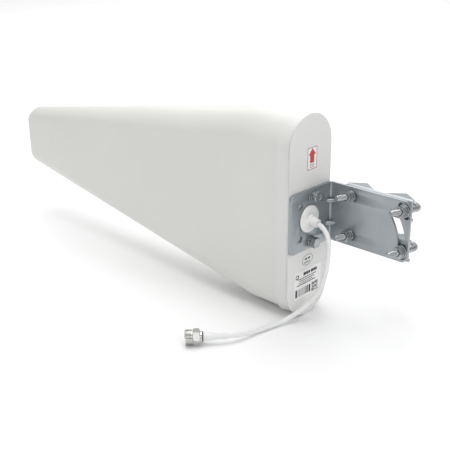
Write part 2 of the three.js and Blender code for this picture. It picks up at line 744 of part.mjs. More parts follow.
class UBoltCurve extends THREE.Curve {
  constructor() {
    super();
    const straight = ROD_END_Y - (U_BOLT_BACK_Y + U_BOLT_CORNER_RADIUS);
    const corner = U_BOLT_CORNER_RADIUS * Math.PI / 2;
    const across = 2 * (LEG_X - U_BOLT_CORNER_RADIUS);
    this.lengths = [straight, corner, across, corner, straight];
    this.total = this.lengths.reduce((sum, length) => sum + length);
  }

  getPoint(t, target = new THREE.Vector3()) {
    let rest = t * this.total;
    let piece = 0;
    while (piece < 4 && rest > this.lengths[piece]) {
      rest -= this.lengths[piece];
      piece += 1;
    }
    const bendX = LEG_X - U_BOLT_CORNER_RADIUS;
    const bendY = U_BOLT_BACK_Y + U_BOLT_CORNER_RADIUS;
    const turn = rest / U_BOLT_CORNER_RADIUS;
    if (piece === 0) {
      return target.set(LEG_X, ROD_END_Y - rest, 0);
    }
    if (piece === 1) {
      return target.set(bendX + U_BOLT_CORNER_RADIUS * Math.cos(turn),
        bendY - U_BOLT_CORNER_RADIUS * Math.sin(turn), 0);
    }
    if (piece === 2) {
      return target.set(bendX - rest, U_BOLT_BACK_Y, 0);
    }
    if (piece === 3) {
      return target.set(-bendX - U_BOLT_CORNER_RADIUS * Math.sin(turn),
        bendY - U_BOLT_CORNER_RADIUS * Math.cos(turn), 0);
    }
    return target.set(-LEG_X, bendY + rest, 0);
  }
}

function uBolt() {
  return new THREE.ExtrudeGeometry(disc(0, 0, ROD_RADIUS), {
    steps: 44,
    bevelEnabled: false,
    extrudePath: new UBoltCurve(),
    curveSegments: 14,
  });
}

// Saddle flange: an M outline with small teeth along the notch that grips the mast.
function saddleFlange() {
  const web = WING_OUTER - GAP;
  const peak = [23, 15.3];
  const floor = [7.5, 3.5];
  const teeth = 6;
  const toothDepth = 0.9;
  const slope = new THREE.Vector2(peak[0] - floor[0], peak[1] - floor[1]);
  const out = new THREE.Vector2(-slope.y, slope.x).normalize();
  const right = [];
  for (let tooth = 0; tooth < teeth; tooth += 1) {
    for (const [share, lift] of [[0, 0], [0.5, toothDepth]]) {
      const along = (tooth + share) / teeth;
      right.push([
        floor[0] + slope.x * along + out.x * lift,
        floor[1] + slope.y * along + out.y * lift,
      ]);
    }
  }
  right.push(peak, [SADDLE_HALF_LENGTH, SADDLE_END_DEPTH], [SADDLE_HALF_LENGTH, 0]);
  const left = right.map(([x, depth]) => [-x, depth]).reverse();
  return polygon([...right, ...left].map(([x, depth]) => [x, web - depth]));
}

// Level slot about x, reaching play to each side of it.
function slottedHole(x, play, radius) {
  const shape = new THREE.Shape();
  shape.absarc(x + play, 0, radius, -Math.PI / 2, Math.PI / 2);
  shape.absarc(x - play, 0, radius, Math.PI / 2, 1.5 * Math.PI);
  shape.closePath();
  return shape;
}

// The saddle has slipped forward on the legs, by the play in its slotted holes.
function saddle() {
  const web = WING_OUTER - GAP;
  const high = SADDLE_HALF_HEIGHT;
  const flat = prism(rectangle(-SADDLE_HALF_LENGTH, web - SADDLE_SHEET, SADDLE_HALF_LENGTH, web),
    new THREE.Matrix4(), -high, high);
  const upperFlange = prism(saddleFlange(), new THREE.Matrix4(), high - SADDLE_SHEET, high);
  const lowerFlange = prism(saddleFlange(), new THREE.Matrix4(), -high, SADDLE_SHEET - high);
  const holes = [-LEG_X, LEG_X].map((x) => prism(
    slottedHole(x, SADDLE_SLIP, SADDLE_HOLE_RADIUS),
    BACK_ALONG_Y,
    -WING_OUTER,
    SADDLE_SHEET + GAP + 1 - WING_OUTER,
  ));
  const channel = cut(unite([flat, upperFlange, lowerFlange]), holes);
  channel.translate(SADDLE_SLIP, 0, 0);
  return channel;
}

// The clamp is not yet tightened, so each U-bolt hangs a little down from square in
// its holes, about the middle of the wing and saddle, and takes its nuts with it.
const DROOP = THREE.MathUtils.degToRad(U_BOLT_DROOP);
const PIVOT_Y = WING_INNER - (SHEET + GAP + SADDLE_SHEET) / 2;
const clampWasherStart = PIVOT_Y
  + (WING_INNER - PIVOT_Y + GAP + WASHER_RADIUS * Math.sin(DROOP)) / Math.cos(DROOP);
const clampSpringStart = clampWasherStart + FLAT_WASHER_THICKNESS + GAP;
const clampNutStart = clampSpringStart + SPRING_WASHER_THICKNESS + GAP;

function hung(geometry) {
  geometry.translate(0, -PIVOT_Y, 0);
  geometry.rotateX(DROOP);
  geometry.translate(0, PIVOT_Y, 0);
  return geometry;
}

for (const [level, z] of [['upper', CLAMP_Z], ['lower', -CLAMP_Z]]) {
  const clamp = new THREE.Group();
  clamp.position.z = z;
  yagiAntenna.add(clamp);
  place(clamp, `${level}_u_bolt`, hung(uBolt()), STAINLESS);
  place(clamp, `${level}_saddle`, saddle(), ZINC_SHEET);
  for (const [end, x] of [['front', LEG_X], ['rear', -LEG_X]]) {
    const stack = new THREE.Group();
    stack.position.x = x;
    clamp.add(stack);
    place(stack, `${level}_${end}_flat_washer`, hung(flatWasher(ALONG_Y, clampWasherStart)), STAINLESS);
    place(stack, `${level}_${end}_spring_washer`, hung(springWasher(ALONG_Y, clampSpringStart)),
      STAINLESS);
    place(stack, `${level}_${end}_nut`, hung(hexNut(ALONG_Y, clampNutStart)), STAINLESS);
  }
}

// Lead, lying free: a plain tube along its route.
place(yagiAntenna, 'lead', tubeAlong(LEAD_ROUTE, LEAD_RADIUS, 40, 10), WHITE_RUBBER);

// Connector on the lead's end, built along +X from its rear face and then turned
// to lie along the lead: a jack with a threaded barrel and a hexagonal clamp nut.
const connector = new THREE.Group();
connector.position.set(...CONNECTOR_REAR);
connector.rotation.z = CONNECTOR_HEADING;
yagiAntenna.add(connector);

const NUT_START = 3.4;
const NUT_END = 10.2;
const BARREL_START = NUT_END + GAP;
const BARREL_END = 18.1;
const BARREL_BORE_RADIUS = 4.4;
const INSULATOR_FRONT = 13.4;

const sleeveProfile = [
  [LEAD_RADIUS + 0.4, -17],
  [3.3, -17],
  [4.3, -8],
  [4.3, -GAP],
  [LEAD_RADIUS + 0.4, -GAP],
  [LEAD_RADIUS + 0.4, -17],
];
place(connector, 'heat_shrink_sleeve', turned(sleeveProfile, ALONG_X, 16), WHITE_RUBBER);

const gasketProfile = [[0, 0.1], [5.3, 0.1], [5.3, 1], [0, 1]];
place(connector, 'connector_gasket', turned(gasketProfile, ALONG_X, 20), BLACK_RUBBER);

const clampNutShape = hexagon(14.4);
const clampNut = unite([
  turned([[0, 1.3], [6.2, 1.3], [7.2, NUT_START], [0, NUT_START]], ALONG_X, 24),
  prism(clampNutShape, ALONG_X, NUT_START - 0.2, NUT_END),
]);
place(connector, 'connector_clamp_nut', clampNut, NICKEL);

const barrelProfile = [
  [0, BARREL_START],
  [7.4, BARREL_START],
  [7.4, BARREL_START + 1],
  [CONNECTOR_BARREL_RADIUS, BARREL_START + 1.2],
  [CONNECTOR_BARREL_RADIUS, BARREL_END - 1],
  [CONNECTOR_BARREL_RADIUS - 1, BARREL_END],
  [BARREL_BORE_RADIUS, BARREL_END],
  [BARREL_BORE_RADIUS, BARREL_START + 1],
  [0, BARREL_START + 1],
];
place(connector, 'connector_barrel', turned(barrelProfile, ALONG_X, 24), NICKEL);

const insulatorRear = BARREL_START + 1 + GAP;
const insulatorProfile = [
  [2, insulatorRear],
  [BARREL_BORE_RADIUS - GAP, insulatorRear],
  [BARREL_BORE_RADIUS - GAP, INSULATOR_FRONT],
  [2, INSULATOR_FRONT],
  [2, insulatorRear],
];
place(connector, 'connector_insulator', turned(insulatorProfile, ALONG_X, 20), NYLON);

const contactProfile = [
  [0, insulatorRear],
  [1.6, insulatorRear],
  [1.6, INSULATOR_FRONT + 1.4],
  [0.85, INSULATOR_FRONT + 1.4],
  [0.85, INSULATOR_FRONT - 0.6],
  [0, INSULATOR_FRONT - 0.6],
];
place(connector, 'connector_contact', turned(contactProfile, ALONG_X, 12), BRASS);

export default yagiAntenna;
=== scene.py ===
import math

import bmesh
import bpy
from mathutils import Matrix, Vector
from mathutils.noise import noise as perlin


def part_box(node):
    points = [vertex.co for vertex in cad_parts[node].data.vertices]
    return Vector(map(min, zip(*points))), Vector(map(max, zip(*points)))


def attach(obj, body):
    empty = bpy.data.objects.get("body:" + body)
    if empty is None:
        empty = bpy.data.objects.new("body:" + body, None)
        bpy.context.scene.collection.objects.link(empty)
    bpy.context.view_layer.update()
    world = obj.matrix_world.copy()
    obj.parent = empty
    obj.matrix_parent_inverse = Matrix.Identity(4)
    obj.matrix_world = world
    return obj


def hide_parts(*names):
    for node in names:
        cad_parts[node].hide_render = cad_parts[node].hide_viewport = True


# A log-periodic directional antenna in a white radome, on its mast clamp. Shapes
# are worked out in millimetres in the CAD model's frame, and made in metres.

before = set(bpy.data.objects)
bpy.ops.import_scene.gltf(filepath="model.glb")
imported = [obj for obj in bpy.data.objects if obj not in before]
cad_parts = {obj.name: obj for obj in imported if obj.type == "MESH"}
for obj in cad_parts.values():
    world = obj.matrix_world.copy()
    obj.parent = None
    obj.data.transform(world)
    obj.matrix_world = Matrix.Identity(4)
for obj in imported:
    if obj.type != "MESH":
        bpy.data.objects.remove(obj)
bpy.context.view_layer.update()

MM = 0.001
TAU = 2 * math.pi

REAR_FACE_X = 59
ANTENNA_Y = 53
FLOOR_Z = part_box("end_cap")[0][2] / MM


# Camera: behind the antenna, on the lead's side and above it.

CAMERA_PLACE = (-0.42497, 0.67921, 0.31131)
CAMERA_FORWARD = (0.6417, -0.6692, -0.3747)
CAMERA_UP = (0.2509, -0.2786, 0.9271)
CAMERA_LENS = 67.79


def make_camera():
    data = bpy.data.cameras.new("camera")
    data.sensor_width = 36
    data.lens = CAMERA_LENS
    data.clip_start = 0.01
    forward = Vector(CAMERA_FORWARD).normalized()
    right = forward.cross(Vector(CAMERA_UP)).normalized()
    up = right.cross(forward)
    camera = bpy.data.objects.new("camera", data)
    turn = Matrix((right, up, -forward)).transposed().to_4x4()
    camera.matrix_world = Matrix.Translation(CAMERA_PLACE) @ turn
    bpy.context.collection.objects.link(camera)
    bpy.context.scene.camera = camera


make_camera()


# Materials, all procedural, in object coordinates, which are metres.

def material(
    name,
    colour,
    roughness,
    metallic=0.0,
    mottle=0.03,
    patch=18.0,
    grain=1500.0,
    bump=0.04,
    rough_spread=0.05,
    stretch=(1, 1, 1),
    grime=None,
):
    """A surface whose colour drifts over patches and whose gloss and relief follow a
    fine grain. grime is a second colour that gathers in scattered spots."""
    made = bpy.data.materials.new(name)
    made.use_nodes = True
    tree = made.node_tree
    shader = tree.nodes["Principled BSDF"]
    shader.inputs["Metallic"].default_value = metallic

    def node(kind, **values):
        new = tree.nodes.new(kind)
        for key, value in values.items():
            if hasattr(new, key):
                setattr(new, key, value)
            else:
                new.inputs[key.replace("_", " ")].default_value = value
        return new

    link = tree.links.new
    place = node("ShaderNodeTexCoord")
    mapping = node("ShaderNodeMapping", Scale=stretch)
    link(place.outputs["Object"], mapping.inputs["Vector"])
    drift = node("ShaderNodeTexNoise", Scale=patch, Detail=4.0, Roughness=0.55)
    fine = node("ShaderNodeTexNoise", Scale=grain, Detail=3.0, Roughness=0.6)
    link(mapping.outputs["Vector"], drift.inputs["Vector"])
    link(mapping.outputs["Vector"], fine.inputs["Vector"])
    ramp = node("ShaderNodeValToRGB")
    low, high = ramp.color_ramp.elements
    low.position, high.position = 0.3, 0.7
    low.color = (*[c * (1 - mottle) for c in colour], 1)
    high.color = (*[min(1.0, c * (1 + mottle)) for c in colour], 1)
    link(drift.outputs["Fac"], ramp.inputs["Fac"])
    last = ramp.outputs["Color"]
    if grime:
        spots = node("ShaderNodeTexNoise", Scale=patch * 9, Detail=5.0, Roughness=0.7)
        link(mapping.outputs["Vector"], spots.inputs["Vector"])
        spread = node("ShaderNodeMapRange", From_Min=0.58, From_Max=0.82, To_Min=0.0, To_Max=0.55)
        link(spots.outputs["Fac"], spread.inputs["Value"])
        mix = node("ShaderNodeMix", data_type="RGBA")
        link(spread.outputs["Result"], mix.inputs[0])
        link(last, mix.inputs[6])
        mix.inputs[7].default_value = (*grime, 1)
        last = mix.outputs[2]
    link(last, shader.inputs["Base Color"])
    gloss = node(
        "ShaderNodeMapRange",
        From_Min=0.3,
        From_Max=0.7,
        To_Min=max(0.02, roughness - rough_spread),
        To_Max=roughness + rough_spread,
    )
    link(fine.outputs["Fac"], gloss.inputs["Value"])
    link(gloss.outputs["Result"], shader.inputs["Roughness"])
    relief = node("ShaderNodeBump", Strength=bump, Distance=0.0004)
    link(fine.outputs["Fac"], relief.inputs["Height"])
    link(relief.outputs["Normal"], shader.inputs["Normal"])
    return made


SHELL = material(
    "moulded_white", (0.725, 0.725, 0.698), 0.36, mottle=0.018, patch=9, grain=2600, bump=0.10,
)
CAP = material(
    "moulded_cap_white", (0.735, 0.738, 0.722), 0.38, mottle=0.015, patch=12, grain=2600, bump=0.10,
)
ZINC = material(
    "bright_zinc_plate", (0.375, 0.405, 0.425), 0.38, metallic=0.88, mottle=0.07, patch=38,
    grain=900, bump=0.06, rough_spread=0.07, stretch=(1, 1, 0.35), grime=(0.40, 0.42, 0.42),
)
STEEL = material(
    "stainless_steel", (0.40, 0.415, 0.425), 0.26, metallic=1.0, mottle=0.06, patch=150,
    grain=2200, bump=0.05, rough_spread=0.07,
)
NICKEL = material(
    "nickel_plate", (0.70, 0.695, 0.68), 0.16, metallic=1.0, mottle=0.04, patch=160,
    grain=2500, bump=0.03, rough_spread=0.04,
)
WHITE_RUBBER = material(
    "white_lead_sheath", (0.80, 0.805, 0.80), 0.42, mottle=0.02, patch=60, grain=2400, bump=0.06,
)
WHITE_SLEEVE = material(
    "white_heat_shrink", (0.78, 0.785, 0.785), 0.34, mottle=0.03, patch=90, grain=1400, bump=0.12,
)
WHITE_NYLON = material(
    "white_gland_plastic", (0.79, 0.79, 0.78), 0.40, mottle=0.02, patch=60, grain=2500, bump=0.08,
)
BLACK_RUBBER = material(
    "black_seal_rubber", (0.018, 0.018, 0.019), 0.62, mottle=0.15, patch=120, grain=1800, bump=0.15,
)
PTFE = material(
    "white_insulator", (0.82, 0.82, 0.79), 0.48, mottle=0.02, patch=120, grain=2000, bump=0.05,
)
BRASS = material(
    "gilt_brass", (0.78, 0.56, 0.23), 0.22, metallic=1.0, mottle=0.06, patch=150, grain=2200, bump=0.04,
)
ALUMINIUM = material(
    "mill_aluminium", (0.66, 0.67, 0.68), 0.38, metallic=1.0, mottle=0.05, patch=40, grain=1200,
    bump=0.08, rough_spread=0.08, stretch=(0.15, 1, 1),
)
NYLON = material(
    "natural_nylon", (0.72, 0.71, 0.66), 0.5, mottle=0.04, patch=60, grain=2000, bump=0.08,
)
FOAM = material(
    "closed_cell_foam", (0.74, 0.74, 0.72), 0.85, mottle=0.06, patch=200, grain=900, bump=0.6,
)
LABEL_FILM = material(
    "label_film", (0.84, 0.84, 0.835), 0.30, mottle=0.012, patch=80, grain=1800, bump=0.03,
)


def ink(name, colour, roughness, mottle):
    return material(name, colour, roughness, mottle=mottle, patch=300, grain=2400, bump=0.03)


RED_INK = ink("red_ink", (0.50, 0.035, 0.025), 0.38, 0.06)
BLACK_INK = ink("black_ink", (0.010, 0.010, 0.013), 0.60, 0.10)
OVAL_INK = ink("grey_ink", (0.10, 0.10, 0.11), 0.42, 0.08)
DARK_RED_INK = ink("dark_red_ink", (0.26, 0.03, 0.05), 0.40, 0.06)


# Mesh making.

def finish_piece(name, mesh, body, surface, replaces=(), sharp=32):
    piece = bpy.data.objects.new(name, mesh)
    bpy.context.collection.objects.link(piece)
    mesh.materials.clear()
    mesh.materials.append(surface)
    for face in mesh.polygons:
        face.use_smooth = True
    mesh.set_sharp_from_angle(angle=math.radians(sharp))
    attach(piece, body)
    if replaces:
        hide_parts(*replaces)
    return piece


def to_mesh(name, points, faces):
    """A mesh in metres from points in millimetres, with its faces turned outwards."""
    shape = bmesh.new()
    corners = [shape.verts.new([c * MM for c in point]) for point in points]
    for face in faces:
        shape.faces.new([corners[i] for i in face])
    bmesh.ops.recalc_face_normals(shape, faces=shape.faces[:])
    mesh = bpy.data.meshes.new(name)
    shape.to_mesh(mesh)
    shape.free()
    return mesh


def skin(rings, closed=False):
    """Points and faces of the skin through equal rings. It ends in flat faces, or
    closed makes its last ring meet its first."""
    count = len(rings[0])
    points = [point for ring in rings for point in ring]
    faces = []
    spans = len(rings) if closed else len(rings) - 1
    for ring in range(spans):
        here = ring * count
        ahead = (ring + 1) % len(rings) * count
        for i in range(count):
            j = (i + 1) % count
            faces.append((here + i, here + j, ahead + j, ahead + i))
    if not closed:
        faces.append(tuple(range(count)))
        faces.append(tuple(range(len(points) - count, len(points))))
    return points, faces


def join(parts):
    points, faces = [], []
    for more_points, more_faces in parts:
        start = len(points)
        points += more_points
        faces += [tuple(i + start for i in face) for face in more_faces]
    return points, faces


class Axis:
    """A line in space, with turned shapes given as radius, angle and distance."""

    def __init__(self, origin, along, side=(0, 0, 1)):
        self.origin = Vector(origin)
        self.along = Vector(along).normalized()
        side = Vector(side)
        self.u = (side - self.along * side.dot(self.along)).normalized()
        self.v = self.along.cross(self.u)

    def at(self, radius, angle, distance):
        out = self.u * math.cos(angle) + self.v * math.sin(angle)
        return tuple(self.origin + self.along * distance + out * radius)

    def ring(self, outline, count):
        """One ring: outline gives radius and distance, or is a function of the angle."""
        points = []
        for step in range(count):
            angle = TAU * step / count
            radius, distance = outline(angle) if callable(outline) else outline
            points.append(self.at(radius, angle, distance))
        return points

    def turned(self, profile, count=48, closed=False):
        return skin([self.ring(outline, count) for outline in profile], closed)


def hexagon(across_flats, distance, chamfer_way=0, chamfer_radius=None):
    """A hexagonal ring whose corners are cut back along the axis by the chamfer."""
    half = across_flats / 2
    chamfer = chamfer_radius or half * 0.97

    def outline(angle):
        away = (angle + math.pi / 6) % (math.pi / 3) - math.pi / 6
        radius = half / math.cos(away)
        back = max(0.0, radius - chamfer) * math.tan(math.radians(30))
        return radius, distance + chamfer_way * back

    return outline


def thread_crest(distance, angle, pitch):
    """1 on a helical thread's crest and 0 in its root."""
    phase = (distance / pitch - angle / TAU) % 1.0
    return min(1.0, max(0.0, 2.5 * abs(phase - 0.5) - 0.12))


def threaded(outer, depth, pitch, distance, fade=1.0):
    return lambda angle: (outer - depth * fade * (1 - thread_crest(distance, angle, pitch)), distance)


def steps(start, end, size):
    count = max(1, round(abs(end - start) / size))
    return [start + (end - start) * i / count for i in range(count + 1)]


def arc(centre, radius, start, end, count):
    """Points on an arc, in degrees, as pairs."""
    angles = [math.radians(start + (end - start) * i / count) for i in range(count + 1)]
    return [(centre[0] + radius * math.cos(a), centre[1] + radius * math.sin(a)) for a in angles]


def circle(centre, radius, count=40):
    return arc(centre, radius, 0, 360, count)[:-1]


# Lead: the same route as in the CAD model.

LEAD_ROUTE = [
    (0.0429, 0.0583, -0.001),
    (0.039, 0.0584, -0.0025),
    (0.0354, 0.0587, -0.0048),
    (0.0324, 0.0591, -0.0079),
    (0.0301, 0.0596, -0.0114),
    (0.0285, 0.0601, -0.0154),
    (0.0278, 0.0605, -0.0196),
    (0.0277, 0.0608, -0.0242),
    (0.0278, 0.061, -0.0305),
    (0.0284, 0.061, -0.0384),
    (0.0298, 0.0606, -0.0468),
    (0.0321, 0.06, -0.0552),
    (0.035, 0.0597, -0.0636),
    (0.0384, 0.0603, -0.0717),
    (0.0424, 0.0623, -0.0794),
    (0.0467, 0.0657, -0.0863),
    (0.0509, 0.0707, -0.0923),
    (0.0548, 0.0769, -0.0972),
    (0.0584, 0.0841, -0.1009),
    (0.0614, 0.0921, -0.1032),
    (0.0638, 0.1006, -0.1041),
    (0.0657, 0.1092, -0.1042),
    (0.0674, 0.1179, -0.1037),
    (0.0687, 0.1266, -0.1027),
    (0.0699, 0.1353, -0.1015),
    (0.0716, 0.144, -0.1001),
    (0.075, 0.1522, -0.099),
    (0.0801, 0.1589, -0.0987),
    (0.0863, 0.1651, -0.0987),
    (0.0926, 0.1714, -0.0987),
]
LEAD_DIAMETER = 0.005


def smooth_line(route, between=6, rounds=24):
    """The route with points added between its own, then eased. Its ends stay."""
    line = [Vector(p) for p in route]
    ends = [line[0] * 2 - line[1], *line, line[-1] * 2 - line[-2]]
    dense = []
    for a, b, c, d in zip(ends, ends[1:], ends[2:], ends[3:]):
        for i in range(between):
            t = i / between
            square = (2 * a - 5 * b + 4 * c - d) * t ** 2
            cube = (3 * b - a - 3 * c + d) * t ** 3
            dense.append(0.5 * (2 * b + (c - a) * t + square + cube))
    dense.append(line[-1])
    for _ in range(rounds):
        middle = [(a + 2 * b + c) / 4 for a, b, c in zip(dense, dense[1:], dense[2:])]
        dense = [dense[0], *middle, dense[-1]]
    return dense


def make_lead():
    line = smooth_line(LEAD_ROUTE)
    data = bpy.data.curves.new("lead_sheath", "CURVE")
    data.dimensions = "3D"
    spline = data.splines.new("POLY")
    spline.points.add(len(line) - 1)
    for point, place in zip(spline.points, line):
        point.co = (*place, 1)
    data.bevel_depth = LEAD_DIAMETER / 2 - 0.00002
    data.bevel_resolution = 6
    data.use_fill_caps = True
    data.materials.append(WHITE_RUBBER)
    lead = bpy.data.objects.new("lead_sheath", data)
    bpy.context.collection.objects.link(lead)
    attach(lead, "antenna")
    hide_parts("lead")
    return lead


lead = make_lead()


# Connector: a jack with a threaded barrel, measured from its rear along the lead.

CONNECTOR_REAR = Vector(LEAD_ROUTE[-1]) / MM + Vector((0.2, 0.2, 0))
CONNECTOR = Axis(CONNECTOR_REAR, (1, 1, 0))
CLAMP_NUT_START, CLAMP_NUT_END = 3.4, 10.2
CLAMP_NUT_FLATS = 14.4
BARREL_START, BARREL_END = 10.5, 18.1
BARREL_RADIUS = 7.95
THREAD_PITCH = 1.06
SLEEVE_REACH = 24.5
SLEEVE_RADIUS = 3.05
CRIMP_SWELL = 1.15


def connector_piece(name, parts, surface, node):
    return finish_piece(name, to_mesh(name, *parts), "antenna", surface, [node])


def make_sleeve():
    """Shrunk tubing that follows the lead, and widens over the crimp."""
    count = 32
    line = [place / MM for place in smooth_line(LEAD_ROUTE)]
    tail = [line[-1]]
    for place in reversed(line[:-1]):
        if (CONNECTOR_REAR - place).length > SLEEVE_REACH:
            break
        tail.append(place)
    tail.reverse()
    first = tail[0]
    reach = (CONNECTOR_REAR - first).length
    start = Axis(first, tail[1] - first)
    rings = [start.ring((2.55, -0.12), count)]
    for index, place in enumerate(tail):
        ahead = tail[min(index + 1, len(tail) - 1)] - tail[max(index - 1, 0)]
        share = (place - first).length / reach
        rise = min(1.0, max(0.0, (share - 0.3) / 0.45))
        radius = SLEEVE_RADIUS + CRIMP_SWELL * (0.5 - 0.5 * math.cos(math.pi * rise))

        def wrinkled(angle):
            wrinkle = perlin(Vector((3 * math.cos(angle), 3 * math.sin(angle), index * 0.21)))
            return radius + 0.07 * wrinkle, 0

        rings.append(Axis(place, ahead).ring(wrinkled, count))
    end = Axis(tail[-1], CONNECTOR.along)
    rings.append(end.ring((3.9, 0.1), count))
    return connector_piece(
        "connector_sleeve", skin(rings), WHITE_SLEEVE, "heat_shrink_sleeve",
    )


def make_seal():
    profile = [(4.2, 0.1), (5.05, 0.1), (5.3, 0.35), (5.3, 0.8), (5.05, 1.05), (4.2, 1.05)]
    return connector_piece(
        "connector_seal", CONNECTOR.turned(profile), BLACK_RUBBER, "connector_gasket",
    )


def make_clamp_nut():
    """A hexagon with a round collar and a groove behind it."""
    profile = [
        (4.6, 1.2),
        (5.6, 1.2),
        (6.0, 1.45),
        (6.0, 2.5),
        (5.7, 2.65),
        (5.7, 3.0),
        (6.7, 3.25),
        hexagon(CLAMP_NUT_FLATS, CLAMP_NUT_START, 1, 7.0),
        hexagon(CLAMP_NUT_FLATS, CLAMP_NUT_END, -1, 7.0),
        (6.8, CLAMP_NUT_END),
        (6.4, CLAMP_NUT_END),
    ]
    return connector_piece(
        "connector_hex", CONNECTOR.turned(profile, 72), NICKEL, "connector_clamp_nut",
    )


def make_barrel():
    """A threaded cup, open at its front."""
    thread_start = BARREL_START + 1.0
    thread_depth = 0.62
    profile = [
        (6.2, BARREL_START),
        (7.05, BARREL_START),
        (7.3, BARREL_START + 0.2),
        (7.3, BARREL_START + 0.9),
    ]
    for distance in steps(thread_start, BARREL_END - 0.9, THREAD_PITCH / 8):
        run_in = min(1.0, (distance - thread_start) / 0.5 + 0.2)
        profile.append(threaded(BARREL_RADIUS - 0.02, thread_depth, THREAD_PITCH, distance, run_in))
    profile += [
        (7.15, BARREL_END - 0.35),
        (7.0, BARREL_END - 0.1),
        (6.85, BARREL_END),
        (4.65, BARREL_END),
        (4.45, BARREL_END - 0.2),
        (4.45, BARREL_START + 1.05),
    ]
    return connector_piece(
        "connector_thread", CONNECTOR.turned(profile, 64), NICKEL, "connector_barrel",
    )


def make_insulator():
    profile = [(1.65, 11.85), (4.05, 11.85), (4.05, 13.2), (3.9, 13.35), (1.9, 13.35), (1.75, 13.2)]
    ring = CONNECTOR.turned(profile, closed=True)
    return connector_piece("connector_bead", ring, PTFE, "connector_insulator")


def sprung(radius, distance):
    """A round outline with four slots, which split the socket into its springs."""
    slot_depth = 0.28
    slot_half_angle = 0.16

    def outline(angle):
        from_slot = abs((angle + math.pi / 4) % (math.pi / 2) - math.pi / 4)
        return radius - (slot_depth if from_slot < slot_half_angle else 0), distance

    return outline


def make_contact():
    profile = [
        (1.55, 11.9),
        sprung(1.6, 12.6),
        sprung(1.6, 14.6),
        sprung(1.45, 14.78),
        (1.0, 14.78),
        (0.86, 14.6),
        (0.86, 12.9),
    ]
    return connector_piece(
        "connector_socket", CONNECTOR.turned(profile, 80), BRASS, "connector_contact",
    )


connector = [
    make_sleeve(),
    make_seal(),
    make_clamp_nut(),
    make_barrel(),
    make_insulator(),
    make_contact(),
]


# Radome.

SHELL_REAR_X = REAR_FACE_X + 5.3
SHELL_WALL = 2.2
TAPER_START_X = REAR_FACE_X + 57.5
TIP_EDGE_X = REAR_FACE_X + 456.5
TAPER_LENGTH = TIP_EDGE_X - TAPER_START_X
TIP_BOW = 9.5
SHELL_HALF = (104.6, 30.6)
TIP_HALF = (38.3, 15.0)
TIP_RIM = 1.6
SKIN_CLEARANCE = 0.02


def obround(half_height, half_thickness, arc_steps=40):
    """Pairs y, z around an upright obround, about the antenna's axis."""
    straight = half_height - half_thickness
    top = arc((ANTENNA_Y, straight), half_thickness, 0, 180, arc_steps)
    bottom = arc((ANTENNA_Y, -straight), half_thickness, 180, 360, arc_steps)
    return top + bottom


def bow_x(z):
    """The tip's face is bowed: how far forward it reaches at a height."""
    radius = (TIP_HALF[0] ** 2 + TIP_BOW ** 2) / (2 * TIP_BOW)
    centre = TIP_EDGE_X + TIP_BOW - radius
    return centre + math.sqrt(radius ** 2 - z ** 2) - SKIN_CLEARANCE


def blend(start, end, share):
    return [a + (b - a) * share for a, b in zip(start, end)]


def tip_edge(near, far):
    """Where the straight line from a point of the shell to the tip meets the bow."""
    x = TIP_EDGE_X
    for _ in range(6):
        share = (x - TAPER_START_X) / TAPER_LENGTH
        y, z = blend(near, far, share)
        x = bow_x(z)
    return x, y, z


def make_radome():
    outline = obround(*SHELL_HALF)
    far = obround(*TIP_HALF)
    edges = [tip_edge(near, ahead) for near, ahead in zip(outline, far)]
    inner = obround(*[half - SHELL_WALL for half in SHELL_HALF])
    rings = [[(SHELL_REAR_X + 30, y, z) for y, z in inner], [(SHELL_REAR_X, y, z) for y, z in inner]]
    for x in (SHELL_REAR_X, SHELL_REAR_X + 25, TAPER_START_X - 6):
        rings.append([(x, y, z) for y, z in outline])
    # The corner where the taper starts is eased.
    for x in (-2.5, 2.5):
        share = max(0, x - 0.9) / TAPER_LENGTH
        rings.append([
            (TAPER_START_X + x, *blend(near, ahead, share)) for near, ahead in zip(outline, far)
        ])
    for share in steps(1 / 24, 1, 1 / 24):
        ring = []
        for (y, z), edge in zip(outline, edges):
            length = edge[0] - TAPER_START_X
            ring.append(blend((TAPER_START_X, y, z), edge, share * (length - TIP_RIM) / length))
        rings.append(ring)
    straight = TIP_HALF[0] - TIP_HALF[1]
    for angle in (22.5, 45, 67.5, 90):
        a = math.radians(angle)
        ring = []
        for x, y, z in edges:
            middle_z = max(-straight, min(straight, z))
            out = Vector((y - ANTENNA_Y, z - middle_z)).normalized()
            inset = out * TIP_RIM * (1 - math.cos(a))
            ring.append((x - TIP_RIM * (1 - math.sin(a)), y - inset.x, z - inset.y))
        rings.append(ring)
    rim_ring = rings[-1]
    for scale in (0.93, 0.8, 0.6, 0.4, 0.2, 0.06):
        rings.append([
            (bow_x(z * scale), ANTENNA_Y + (y - ANTENNA_Y) * scale, z * scale) for x, y, z in rim_ring
        ])
    mesh = to_mesh("radome", *skin(rings))
    finish_piece("radome", mesh, "antenna", SHELL, ["radome_shell"], 50)


make_radome()


def boolean_cut(piece, cutters):
    """Cuts the pieces' shapes out of a piece, for good."""
    for cutter in cutters:
        step = piece.modifiers.new("cut", "BOOLEAN")
        step.operation = "DIFFERENCE"
        step.solver = "EXACT"
        step.object = cutter
    graph = bpy.context.evaluated_depsgraph_get()
    mesh = bpy.data.meshes.new_from_object(piece.evaluated_get(graph))
    piece.modifiers.clear()
    old = piece.data
    piece.data = mesh
    bpy.data.meshes.remove(old)
    for cutter in cutters:
        data = cutter.data
        bpy.data.objects.remove(cutter)
        bpy.data.meshes.remove(data)


def cutting_rod(name, origin, along, radius, start, end):
    points, faces = Axis(origin, along).turned([(radius, start), (radius, end)], 40)
    rod = bpy.data.objects.new(name, to_mesh(name, points, faces))
    bpy.context.collection.objects.link(rod)
    return rod


# End cap.

CAP_HALF = (106.8, 32.6)
CAP_LENGTH = 17
CAP_WALL = 3
GLAND_Y, GLAND_Z = ANTENNA_Y + 5.3, 1.7
BOLT_Z = 24.5


